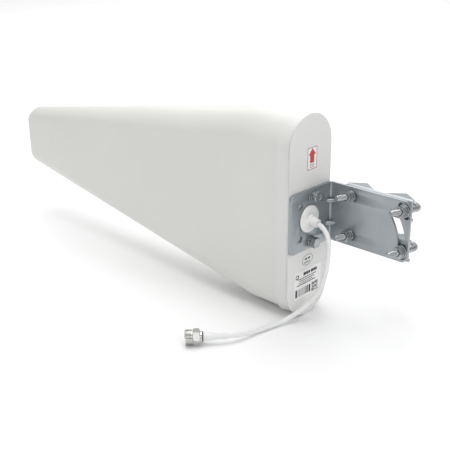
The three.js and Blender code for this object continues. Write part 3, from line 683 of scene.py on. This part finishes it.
def make_cap():
    """A shallow tray. Its side dips in just behind the rear face and flares out to a lip."""
    dip = 2.5
    lip = 0.8
    rings = []

    def add(x, inset):
        section = obround(CAP_HALF[0] - inset, CAP_HALF[1] - inset)
        rings.append([(REAR_FACE_X + x, y, z) for y, z in section])

    add(0, dip + 0.4)
    for angle in range(90, -1, -15):
        depth = dip * (1 - math.sin(math.radians(angle)))
        add(depth, depth)
    add(CAP_LENGTH - lip, 0)
    add(CAP_LENGTH - lip * 0.35, lip * 0.15)
    add(CAP_LENGTH, lip * 0.7)
    add(CAP_LENGTH, 1.9)
    add(CAP_LENGTH - 0.2, 2.0)
    add(CAP_WALL, 2.1)
    mesh = to_mesh("rear_cap", *skin(rings))
    cap = finish_piece("rear_cap", mesh, "antenna", CAP, ["end_cap"], 40)
    through = (-1, CAP_WALL + 1)
    rods = [cutting_rod("cut_gland", (REAR_FACE_X, GLAND_Y, GLAND_Z), (1, 0, 0), 6.6, *through)]
    for z in (BOLT_Z, -BOLT_Z):
        rods.append(cutting_rod("cut_bolt", (REAR_FACE_X, ANTENNA_Y, z), (1, 0, 0), 3.4, *through))
    boolean_cut(cap, rods)


make_cap()


# Labels: thin film on the cap's rear face, with printed marks that bear no words.

def rear_film(name, outlines, thickness, surface, replaces=(), lift=0.0):
    """Flat shapes on the cap's rear face, given by outlines of y and z."""
    parts = []
    for outline in outlines:
        face = REAR_FACE_X - lift
        parts.append(skin([
            [(face - depth, ANTENNA_Y + y, z) for y, z in outline] for depth in (0.0, thickness)
        ]))
    finish_piece(name, to_mesh(name, *join(parts)), "antenna", surface, replaces)


def bar(y0, z0, y1, z1):
    return [(y0, z0), (y1, z0), (y1, z1), (y0, z1)]


def rounded(y0, z0, y1, z1, radius, count=6):
    points = arc((y1 - radius, z1 - radius), radius, 0, 90, count)
    points += arc((y0 + radius, z1 - radius), radius, 90, 180, count)
    points += arc((y0 + radius, z0 + radius), radius, 180, 270, count)
    points += arc((y1 - radius, z0 + radius), radius, 270, 360, count)
    return points


def frame_bars(y0, z0, y1, z1, width):
    return [
        bar(y0, z0, y1, z0 + width),
        bar(y0, z1 - width, y1, z1),
        bar(y0, z0 + width, y0 + width, z1 - width),
        bar(y1 - width, z0 + width, y1, z1 - width),
    ]


FILM = 0.16
PRINT = 0.03


def make_arrow_label():
    """An upright red arrow over two plain boxes, in a frame."""
    rear_film("arrow_film", [rounded(-9.8, 50.3, 5.6, 73.3, 0.8)], FILM, LABEL_FILM, ["arrow_label"])
    arrow = [
        (-5.2, 57.2),
        (1.2, 57.2),
        (1.2, 65.3),
        (3.6, 65.3),
        (-2.1, 72.1),
        (-7.8, 65.3),
        (-5.2, 65.3),
    ]
    rear_film("arrow_print", [arrow], PRINT, RED_INK, lift=FILM)
    frames = frame_bars(-9.5, 50.6, 5.3, 73.0, 0.62)
    for start in (-5.2, -1.7):
        frames += frame_bars(start, 52.4, start + 2.7, 55.9, 0.5)
    rear_film("arrow_frame", frames, PRINT, DARK_RED_INK, lift=FILM)


make_arrow_label()


def heading_marks():
    """A plain box and two groups of four joined blocks."""
    marks = frame_bars(14.2, -62.8, 19.2, -58.4, 1.0)
    for left, pitch in ((6.8, 2.75), (-5.4, 2.45)):
        for index, share in enumerate((0.95, 0.8, 0.9, 0.85)):
            start = left - pitch * index
            marks.append(bar(start - pitch * share, -61.4, start, -58.1))
            if index % 2:
                marks.append(bar(start - pitch, -60.2, start - pitch * share, -59.0))
    return marks


def dash_rows():
    """Four rows of dashes of varied length."""
    gap = 0.4
    rows = (
        (16.1, -13.9, -64.4, 1.0),
        (13.0, -10.4, -66.7, 1.0),
        (14.6, -7.0, -68.7, 0.8),
        (17.4, -12.6, -71.0, 1.15),
    )
    marks = []
    for row, (left, right, z, height) in enumerate(rows):
        place = left
        count = 0
        while place > right:
            length = 1.2 + 1.9 * ((count * 7 + row * 5) % 4) / 3
            marks.append(bar(place - length, z, place, z + height))
            place -= length + gap
            count += 1
    return marks


def stripes():
    """Upright stripes, thick at both ends and thin between."""
    gap = 1.0
    place = 19.4
    marks = []
    for width in (2.7, *(0.4, 0.3, 0.6) * 3, 1.6, 1.5, 2.6):
        marks.append(bar(place - width, -83.0, place, -74.6))
        place -= width + gap
    return marks


def speckled_square():
    """Ten by ten cells, about three quarters of them filled, with squares in three corners."""
    cells = 10
    wide, high = 0.98, 1.03
    left, top = -7.2, -73.9
    marks = []
    for row in range(cells):
        for column in range(cells):
            in_corner = (row < 3 or row > 6) and column < 3 or row < 3 and column > 6
            on_ring = row in (0, 2, 7, 9) or column in (0, 2, 7, 9)
            speckle = (row * row * 3 + column * 5 + row * column) % 4 < 3
            filled = on_ring if in_corner else speckle
            if filled:
                y = left - wide * column
                z = top - high * row
                marks.append(bar(y - wide + 0.02, z - high + 0.03, y, z))
    return marks


rear_film("rating_film", [rounded(-21.8, -85.9, 20.9, -55.5, 0.8)], FILM, LABEL_FILM, ["rating_label"])
rating_marks = heading_marks() + dash_rows() + stripes() + speckled_square()
rear_film("rating_print", rating_marks, PRINT, BLACK_INK, lift=FILM)


def ellipse_ring(centre, radii, width, count=40):
    """A narrow ring round an ellipse, in short pieces."""
    inner_radii = [radius - width for radius in radii]
    parts = []
    for index in range(count):
        turns = [TAU * index / count, TAU * (index + 1) / count]
        outer, inner = [
            [(centre[0] + wide * math.cos(a), centre[1] + high * math.sin(a)) for a in turns]
            for wide, high in (radii, inner_radii)
        ]
        parts.append([*outer, *reversed(inner)])
    return parts


def oval_mark():
    """A ring round two blocks and a row of short dashes."""
    y, z = 0.8, -45.2
    parts = ellipse_ring((y, z), (8.6, 5.9), 0.5)
    for start in (0.7, -4.3):
        parts.append(bar(y + start, z + 0.2, y + start + 3.6, z + 2.4))
    for index in range(5):
        start = y + 3.6 - 2.0 * index
        parts.append(bar(start, z - 3.3, start + 1.6, z - 2.1))
    return parts


rear_film("oval_print", oval_mark(), PRINT, OVAL_INK)


# Folded sheet metal: a flat sheet with rounded edges is cut, then bent.

def sheet_shape(outline, holes, thickness, edge=0.35):
    """The flat sheet in millimetres, middle plane at z = 0, as an editable shape."""
    data = bpy.data.curves.new("sheet", "CURVE")
    data.dimensions = "2D"
    data.fill_mode = "BOTH"
    data.extrude = thickness / 2 - edge
    data.bevel_depth = edge
    data.bevel_resolution = 1
    data.offset = -edge
    for path in [outline, *holes]:
        spline = data.splines.new("POLY")
        spline.points.add(len(path) - 1)
        for point, (u, v) in zip(spline.points, path):
            point.co = (u, v, 0, 1)
        spline.use_cyclic_u = True
    carrier = bpy.data.objects.new("sheet", data)
    bpy.context.collection.objects.link(carrier)
    graph = bpy.context.evaluated_depsgraph_get()
    flat = bpy.data.meshes.new_from_object(carrier.evaluated_get(graph))
    shape = bmesh.new()
    shape.from_mesh(flat)
    bpy.data.objects.remove(carrier)
    bpy.data.curves.remove(data)
    bpy.data.meshes.remove(flat)
    bmesh.ops.remove_doubles(shape, verts=shape.verts[:], dist=0.001)
    return shape


def score(shape, axis, places):
    """Adds edges across the sheet so that it can bend there."""
    normal = Vector((1, 0, 0)) if axis == 0 else Vector((0, 1, 0))
    for place in places:
        parts = shape.verts[:] + shape.edges[:] + shape.faces[:]
        bmesh.ops.bisect_plane(shape, geom=parts, dist=0.0005, plane_co=normal * place, plane_no=normal)


def bent_mesh(name, shape, bend):
    for corner in shape.verts:
        corner.co = Vector(bend(*corner.co)) * MM
    bmesh.ops.recalc_face_normals(shape, faces=shape.faces[:])
    mesh = bpy.data.meshes.new(name)
    shape.to_mesh(mesh)
    shape.free()
    return mesh


# Bracket.

SHEET = 3
GAP = 0.3
PLATE_MIDDLE_X = REAR_FACE_X - GAP - SHEET / 2
PLATE_REAR_X = PLATE_MIDDLE_X - SHEET / 2
PLATE_LEFT_Y = ANTENNA_Y + 33
BEND_MIDDLE_RADIUS = 3.5
BEND_CENTRE = (PLATE_MIDDLE_X - BEND_MIDDLE_RADIUS, ANTENNA_Y - 28)
WING_MIDDLE_Y = BEND_CENTRE[1] - BEND_MIDDLE_RADIUS
WING_REAR_X = REAR_FACE_X - 96.5
BRACKET_HALF_HEIGHT = 31.5
BOLT_HOLE_RADIUS = 3.4
LEG_HOLE_RADIUS = 3.9
GLAND_HOLE_RADIUS = 7.6
LEG_X = 31
CLAMP_Z = 21
BEND_START = PLATE_LEFT_Y - BEND_CENTRE[1]
BEND_END = BEND_START + BEND_MIDDLE_RADIUS * math.pi / 2


def wing_u(x):
    return BEND_END + BEND_CENTRE[0] - x


def slot_outline(radius, low, high, half_width=4.3):
    """An arc slot about the lower front leg, in degrees up from straight back."""
    centre = (wing_u(LEG_X), -CLAMP_Z)
    ends = [arc(centre, radius, angle, angle, 1)[0] for angle in (low, high)]
    points = arc(centre, radius + half_width, low, high, 24)
    points += arc(ends[1], half_width, high, high + 180, 12)[1:]
    points += arc(centre, radius - half_width, high, low, 24)[1:]
    points += arc(ends[0], half_width, low + 180, low + 360, 12)[1:-1]
    return points


def bend_bracket(u, v, w):
    if u <= BEND_START:
        return PLATE_MIDDLE_X + w, PLATE_LEFT_Y - u, v
    if u >= BEND_END:
        return BEND_CENTRE[0] - (u - BEND_END), WING_MIDDLE_Y - w, v
    turn = (u - BEND_START) / BEND_MIDDLE_RADIUS
    reach = BEND_MIDDLE_RADIUS + w
    return BEND_CENTRE[0] + reach * math.cos(turn), BEND_CENTRE[1] - reach * math.sin(turn), v


def bracket_outline():
    """The flat sheet: two round corners at the plate, two cut corners at the wing's end."""
    high = BRACKET_HALF_HEIGHT
    corner = 6
    chamfer = 5
    end = wing_u(WING_REAR_X)
    cut_corner = [
        (end, high - chamfer - 0.5),
        (end - 0.3, high - chamfer + 0.4),
        (end - chamfer + 0.4, high - 0.3),
        (end - chamfer - 0.5, high),
    ]
    outline = arc((corner, corner - high), corner, 180, 270, 10)
    outline += [(u, -v) for u, v in reversed(cut_corner)]
    outline += cut_corner
    outline += arc((corner, high - corner), corner, 90, 180, 10)
    return outline


def bracket_holes():
    """A ring of bolt holes around the gland's, a leg hole and three arc slots."""
    axis_u = PLATE_LEFT_Y - ANTENNA_Y
    holes = []
    for degrees in (45, 90, 135, 225, 270, 315):
        a = math.radians(degrees)
        place = (axis_u + BOLT_Z * math.cos(a), BOLT_Z * math.sin(a))
        holes.append(circle(place, BOLT_HOLE_RADIUS))
    holes.append(circle((PLATE_LEFT_Y - GLAND_Y, GLAND_Z), GLAND_HOLE_RADIUS))
    holes.append(circle((wing_u(LEG_X), -CLAMP_Z), LEG_HOLE_RADIUS))
    rise = math.degrees(math.atan2(CLAMP_Z, LEG_X))
    holes.append(slot_outline(2 * LEG_X, -3, 34))
    holes.append(slot_outline(2 * math.hypot(LEG_X, CLAMP_Z), rise - 3, rise + 4))
    holes.append(slot_outline(2 * CLAMP_Z, 87, 94))
    return holes


def make_bracket():
    shape = sheet_shape(bracket_outline(), bracket_holes(), SHEET)
    score(shape, 0, steps(BEND_START, BEND_END, 0.55))
    mesh = bent_mesh("bracket", shape, bend_bracket)
    finish_piece("bracket", mesh, "antenna", ZINC, ["l_bracket"], 30)


make_bracket()


def make_ribs():
    """Short ribs pressed across the inside of the bend, rounded at their ends."""
    half_length = 6
    radius = 2.3
    end_radius = 0.15
    rings = []
    for share in steps(-1, 1, 0.1):
        size = math.sqrt(max(0.0, 1 - abs(share) ** 3))
        rings.append((max(end_radius, radius * size), share * half_length))
    for level, z in (("upper", 12), ("lower", -12)):
        name = level + "_bend_rib"
        spine = Axis((REAR_FACE_X - 5.7, ANTENNA_Y - 27.6, z), (1, 1, 0))
        mesh = to_mesh(name, *spine.turned(rings, 24))
        finish_piece(name, mesh, "antenna", ZINC, (), 60)


make_ribs()


# Fasteners.

NUT_FLATS = 10
NUT_HEIGHT = 5
NUT_SEAT_RADIUS = NUT_FLATS / 2 * 0.97
HEAD_HEIGHT = 4
THREAD_RADIUS = 2.98
THREAD_DEPTH = 0.55


def hex_nut(axis, start):
    bore = 3.05
    end = start + NUT_HEIGHT
    return axis.turned([
        (bore, start + 0.4),
        (bore + 0.5, start),
        (NUT_SEAT_RADIUS, start),
        hexagon(NUT_FLATS, start, 1),
        hexagon(NUT_FLATS, end, -1),
        (NUT_SEAT_RADIUS, end),
        (bore + 0.5, end),
        (bore, end - 0.4),
    ], 72, closed=True)


WASHER_BORE = 3.25


def flat_washer(axis, start):
    outer = 6.5
    thickness = 1.6
    end = start + thickness
    soft = 0.22
    return axis.turned([
        (WASHER_BORE, start + soft),
        (WASHER_BORE + soft, start),
        (outer - soft, start),
        (outer, start + soft),
        (outer, end - soft),
        (outer - soft, end),
        (WASHER_BORE + soft, end),
        (WASHER_BORE, end - soft),
    ], 56, closed=True)


def spring_washer(axis, start, thickness, turn):
    """A split ring whose two ends have sprung a little apart."""
    outer = 5.5
    split = 0.13
    spread = 0.22
    rings = []
    for share in steps(0, 1, 1 / 44):
        angle = turn + split / 2 + (TAU - split) * share
        low = start + spread * share
        high = low + thickness - spread
        section = (
            (WASHER_BORE, low + 0.1),
            (WASHER_BORE + 0.1, low),
            (outer - 0.2, low),
            (outer, low + 0.18),
            (outer, high - 0.18),
            (outer - 0.2, high),
            (WASHER_BORE + 0.1, high),
            (WASHER_BORE, high - 0.1),
        )
        rings.append([axis.at(radius, angle, distance) for radius, distance in section])
    return skin(rings)


def put(name, parts, body, node, surface=STEEL, sharp=30):
    finish_piece(name, to_mesh(name, *parts), body, surface, [node], sharp)


def make_bracket_bolt(level, z):
    """Bolt and washers. Distances run backwards from the plate, towards the head."""
    axis = Axis((PLATE_REAR_X, ANTENNA_Y, z), (-1, 0, 0))
    stack = level + "_bolt"
    node = level + "_bracket"
    put(stack + "_flat_washer", flat_washer(axis, 0.12), "antenna", node + "_flat_washer")
    split = spring_washer(axis, 1.8, 1.85, 1.0)
    put(stack + "_spring_washer", split, "antenna", node + "_spring_washer")
    head = 4.0
    top = head + HEAD_HEIGHT
    back_plate = 3
    shank_end = -(SHEET + CAP_WALL + back_plate + 2 * GAP + NUT_HEIGHT + 1.2)
    rings = [(1.9, shank_end), (2.55, shank_end + 0.5)]
    for distance in steps(shank_end + 0.5, shank_end + 9, 1 / 6):
        rings.append(threaded(THREAD_RADIUS, THREAD_DEPTH, 1.0, distance))
    rings += [
        (THREAD_RADIUS, shank_end + 9.3),
        (THREAD_RADIUS, head - 0.1),
        (3.4, head - 0.02),
        (NUT_SEAT_RADIUS, head),
        hexagon(NUT_FLATS, head, 0),
        hexagon(NUT_FLATS, top, -1),
        (NUT_SEAT_RADIUS, top),
        (3.7, top),
        (3.45, top - 0.22),
        (1.0, top - 0.22),
    ]
    put(stack, axis.turned(rings, 72), "antenna", node + "_bolt")


for level, z in (("upper", BOLT_Z), ("lower", -BOLT_Z)):
    make_bracket_bolt(level, z)


# Gland: a flange with a tapered boot.

def make_gland():
    axis = Axis((REAR_FACE_X, GLAND_Y, GLAND_Z), (-1, 0, 0))
    flange = [
        (6.0, -14.3),
        (6.0, 3.5),
        (13.6, 3.62),
        (14.05, 3.9),
        (14.2, 4.4),
        (14.1, 5.0),
        (13.8, 5.4),
        (13.2, 5.7),
        (11.5, 5.86),
        (9.0, 5.94),
        (4.0, 5.98),
    ]
    # The boot sags under the lead's weight.
    sag = math.radians(15)
    boot_axis = Axis((REAR_FACE_X - 6, GLAND_Y, GLAND_Z), (-math.cos(sag), 0, -math.sin(sag)))
    foot = [(3.0, -1.2), (6.6, -0.6), (6.2, 0.35), (5.6, 0.9), (5.15, 1.7), (4.95, 2.6)]
    taper = [(4.85 - 0.65 * share, 3.2 + 4.7 * share) for share in steps(0, 1, 0.2)]
    collar = [
        (4.15, 8.05),
        (4.3, 8.2),
        (4.5, 8.35),
        (4.6, 8.7),
        (4.6, 9.5),
        (4.45, 9.8),
        (4.1, 9.95),
        (3.0, 9.98),
        (2.6, 9.7),
    ]
    parts = join([axis.turned(flange, 72), boot_axis.turned(foot + taper + collar, 56)])
    put("gland_boot", parts, "antenna", "cable_gland", WHITE_NYLON, 35)


make_gland()


# Mast clamp.

WING_OUTER_Y = ANTENNA_Y - 33
WING_INNER_Y = WING_OUTER_Y + SHEET
DROOP = math.radians(10)
PIVOT_Y = WING_INNER_Y - 2.9
DROOPED = (0, math.cos(DROOP), math.sin(DROOP))
DROOPED_SIDE = (0, -math.sin(DROOP), math.cos(DROOP))
ROD_RADIUS = 2.97
ROD_END_Y = 47.5
THREADED_TO_Y = 12.5
U_BACK_Y = -16.5
U_CORNER = 20
SADDLE_SHEET = 2.5
SADDLE_HALF_LENGTH = 38
SADDLE_SLIP = 2
SADDLE_BACK_Y = WING_OUTER_Y - GAP
SADDLE_WEB_Y = SADDLE_BACK_Y - SADDLE_SHEET / 2
SADDLE_BEND = 2.05
SADDLE_FLANGE_Z = 11 - SADDLE_SHEET / 2
SADDLE_BEND_Z = SADDLE_FLANGE_Z - SADDLE_BEND
SADDLE_BEND_Y = SADDLE_WEB_Y - SADDLE_BEND
SADDLE_FOLD_END = SADDLE_BEND_Z + SADDLE_BEND * math.pi / 2


def hung(x, y, z):
    """Where a point at the clamp's height z goes when its U-bolt hangs down."""
    away = y - PIVOT_Y
    return x, PIVOT_Y + away * math.cos(DROOP), z + away * math.sin(DROOP)


def make_u_bolt(level, z):
    """The rod's path is one leg, a corner, the back, a corner and the other leg."""
    rings = []

    def ring(x, y, heading, radius_at):
        along = (heading[0], heading[1] * math.cos(DROOP), heading[1] * math.sin(DROOP))
        spine = Axis(hung(x, y, z), along, DROOPED_SIDE)
        rings.append(spine.ring(lambda angle: (radius_at(angle), 0), 24))

    def leg(side, distances, heading):
        for y in distances:
            fade = min(1.0, max(0.0, (y - THREADED_TO_Y) / 1.5))
            end_chamfer = 2.1 + (ROD_END_Y - y) * 0.9

            def radius_at(angle):
                cut = 0.56 * fade * (1 - thread_crest(y * side, angle, 1.0))
                return min(ROD_RADIUS - cut, end_chamfer)

            ring(side * LEG_X, y, heading, radius_at)

    def corner(side, turns):
        for degrees in turns:
            a = math.radians(degrees)
            x = side * (LEG_X - U_CORNER + U_CORNER * math.cos(a))
            y = U_BACK_Y + U_CORNER - U_CORNER * math.sin(a)
            ring(x, y, (-math.sin(a), -side * math.cos(a)), lambda angle: ROD_RADIUS)

    distances = steps(ROD_END_Y, THREADED_TO_Y, 1 / 6)
    distances += [THREADED_TO_Y - 1, U_BACK_Y + U_CORNER + 0.5]
    leg(1, distances, (0, -1))
    corner(1, range(0, 91, 5))
    corner(-1, range(90, -1, -5))
    leg(-1, reversed(distances), (0, 1))
    put(level + "_rod", skin(rings), level + "_u_bolt", level + "_u_bolt")


def saddle_outline():
    """Web and two M-shaped flanges with toothed notches, laid out flat."""
    peak, floor = Vector((23, 15.3)), Vector((7.5, 3.5))
    slope = peak - floor
    out = Vector((-slope.y, slope.x)).normalized()
    teeth = 6
    right = []
    for tooth in range(teeth):
        for share, lift in ((0.0, 0.0), (0.5, 0.85)):
            place = floor + slope * ((tooth + share) / teeth) + out * lift
            right.append((place.x, place.y))
    right += [(peak.x - 0.7, peak.y - 0.1), (peak.x + 0.7, peak.y - 0.35)]
    right += [(SADDLE_HALF_LENGTH - 0.6, 5.3), (SADDLE_HALF_LENGTH, 4.8)]
    upper = [(x, SADDLE_FOLD_END + SADDLE_BEND_Y - SADDLE_BACK_Y + depth) for x, depth in right]
    top = upper[::-1] + [(-x, v) for x, v in upper]
    bottom = [(-x, -v) for x, v in top]
    return top + bottom


def bend_saddle(z):
    """A bend that folds both flanges of the saddle at height z."""

    def bend(u, v, w):
        side = 1 if v >= 0 else -1
        reach = abs(v)
        if reach <= SADDLE_BEND_Z:
            return u, SADDLE_WEB_Y + w, z + v
        if reach >= SADDLE_FOLD_END:
            return u, SADDLE_BEND_Y - (reach - SADDLE_FOLD_END), z + side * (SADDLE_FLANGE_Z + w)
        turn = (reach - SADDLE_BEND_Z) / SADDLE_BEND
        far = SADDLE_BEND + w
        height = SADDLE_BEND_Z + far * math.sin(turn)
        return u, SADDLE_BEND_Y + far * math.cos(turn), z + side * height

    return bend


def make_saddle(level, z):
    holes = []
    for x in (-LEG_X, LEG_X):
        hole = arc((x + SADDLE_SLIP, 0), LEG_HOLE_RADIUS, -90, 90, 14)
        hole += arc((x - SADDLE_SLIP, 0), LEG_HOLE_RADIUS, 90, 270, 14)
        holes.append(hole)
    shape = sheet_shape(saddle_outline(), holes, SADDLE_SHEET, 0.3)
    folds = steps(SADDLE_BEND_Z, SADDLE_FOLD_END, 0.46)
    score(shape, 1, folds + [-v for v in folds])
    name = level + "_channel"
    mesh = bent_mesh(name, shape, bend_saddle(z))
    mesh.transform(Matrix.Translation((SADDLE_SLIP * MM, 0, 0)))
    finish_piece(name, mesh, "clamp_set", ZINC, [level + "_saddle"], 30)


def make_leg_stack(stack, x, z):
    """Washers and nut. Distances run from the wing's and saddle's middle, along the leg."""
    axis = Axis(hung(x, PIVOT_Y, z), DROOPED, DROOPED_SIDE)
    start = 4.36
    put(stack + "_plain_washer", flat_washer(axis, start), "clamp_set", stack + "_flat_washer")
    split = spring_washer(axis, start + 1.68, 1.95, 2.2)
    put(stack + "_split_washer", split, "clamp_set", stack + "_spring_washer")
    put(stack + "_hex_nut", hex_nut(axis, start + 3.75), "clamp_set", stack + "_nut")


for level, z in (("upper", CLAMP_Z), ("lower", -CLAMP_Z)):
    make_u_bolt(level, z)
    make_saddle(level, z)
    for end, x in (("front", LEG_X), ("rear", -LEG_X)):
        make_leg_stack(level + "_" + end, x, z)


# CAD nodes that keep their shapes get their materials here.

KEPT = (
    (BLACK_RUBBER, ("cap_gasket",)),
    (ALUMINIUM, ("back_plate", "radiator_left", "radiator_right", "shorting_block", "boom_bracket")),
    (ALUMINIUM, ("rear_boom_rivet", "middle_boom_rivet", "front_boom_rivet")),
    (NYLON, ("rear_boom_spacer", "middle_boom_spacer", "front_boom_spacer", "gland_nut")),
    (FOAM, ("middle_foam_support", "front_foam_support")),
    (WHITE_RUBBER, ("feed_coax",)),
    (BRASS, ("feed_tag",)),
    (STEEL, ("upper_bracket_nut", "lower_bracket_nut")),
)
for surface, node_names in KEPT:
    for node_name in node_names:
        kept = bpy.data.objects[node_name]
        if not kept.data.materials:
            kept.data.materials.append(surface)
        for place in kept.material_slots:
            place.material = surface


# Studio: a pale floor, a bright sky and large soft lights.

def make_floor():
    mesh = bpy.data.meshes.new("floor")
    half = 14
    top = FLOOR_Z * MM - 0.0003
    corners = [(-half, -half, top), (half, -half, top), (half, half, top), (-half, half, top)]
    mesh.from_pydata(corners, [], [(0, 1, 2, 3)])
    mesh.materials.append(material(
        "pale_floor", (0.93, 0.93, 0.93), 0.7, mottle=0.004, patch=2, grain=60, bump=0.01,
    ))
    floor = bpy.data.objects.new("floor", mesh)
    bpy.context.collection.objects.link(floor)


def make_sky():
    world = bpy.data.worlds.new("studio")
    bpy.context.scene.world = world
    world.use_nodes = True
    tree = world.node_tree
    background = tree.nodes["Background"]
    place = tree.nodes.new("ShaderNodeTexCoord")
    split = tree.nodes.new("ShaderNodeSeparateXYZ")
    ramp = tree.nodes.new("ShaderNodeValToRGB")
    tree.links.new(place.outputs["Generated"], split.inputs["Vector"])
    tree.links.new(split.outputs["Z"], ramp.inputs["Fac"])
    tree.links.new(ramp.outputs["Color"], background.inputs["Color"])
    low, high = ramp.color_ramp.elements
    low.position, high.position = 0.0, 0.8
    low.color = (0.88, 0.885, 0.89, 1)
    high.color = (1.0, 1.0, 1.0, 1)
    background.inputs["Strength"].default_value = 0.54


def make_light(name, place, target, size, power):
    data = bpy.data.lights.new(name, "AREA")
    data.shape = "RECTANGLE"
    data.size, data.size_y = size
    data.energy = power
    light = bpy.data.objects.new(name, data)
    light.location = place
    light.rotation_euler = (Vector(target) - Vector(place)).to_track_quat("-Z", "Y").to_euler()
    bpy.context.collection.objects.link(light)


make_floor()
make_sky()
make_light("top_light", (0.25, 0.1, 1.7), (0.2, 0.0, 0), (1.6, 1.2), 16)
make_light("side_light", (-0.6, 1.6, 0.9), (0.15, 0.05, 0), (1.2, 1.0), 3)
make_light("rear_light", (-1.5, 0.2, 0.7), (0.05, 0.05, 0), (0.9, 0.9), 4.5)
make_light("back_light", (1.5, -1.6, 1.0), (0.05, 0, 0), (1.8, 0.8), 5)
make_light("floor_light", (2.0, -2.1, 2.4), (2.0, -2.1, 0), (3.4, 3.4), 48)
bpy.context.scene.view_settings.view_transform = "Standard"
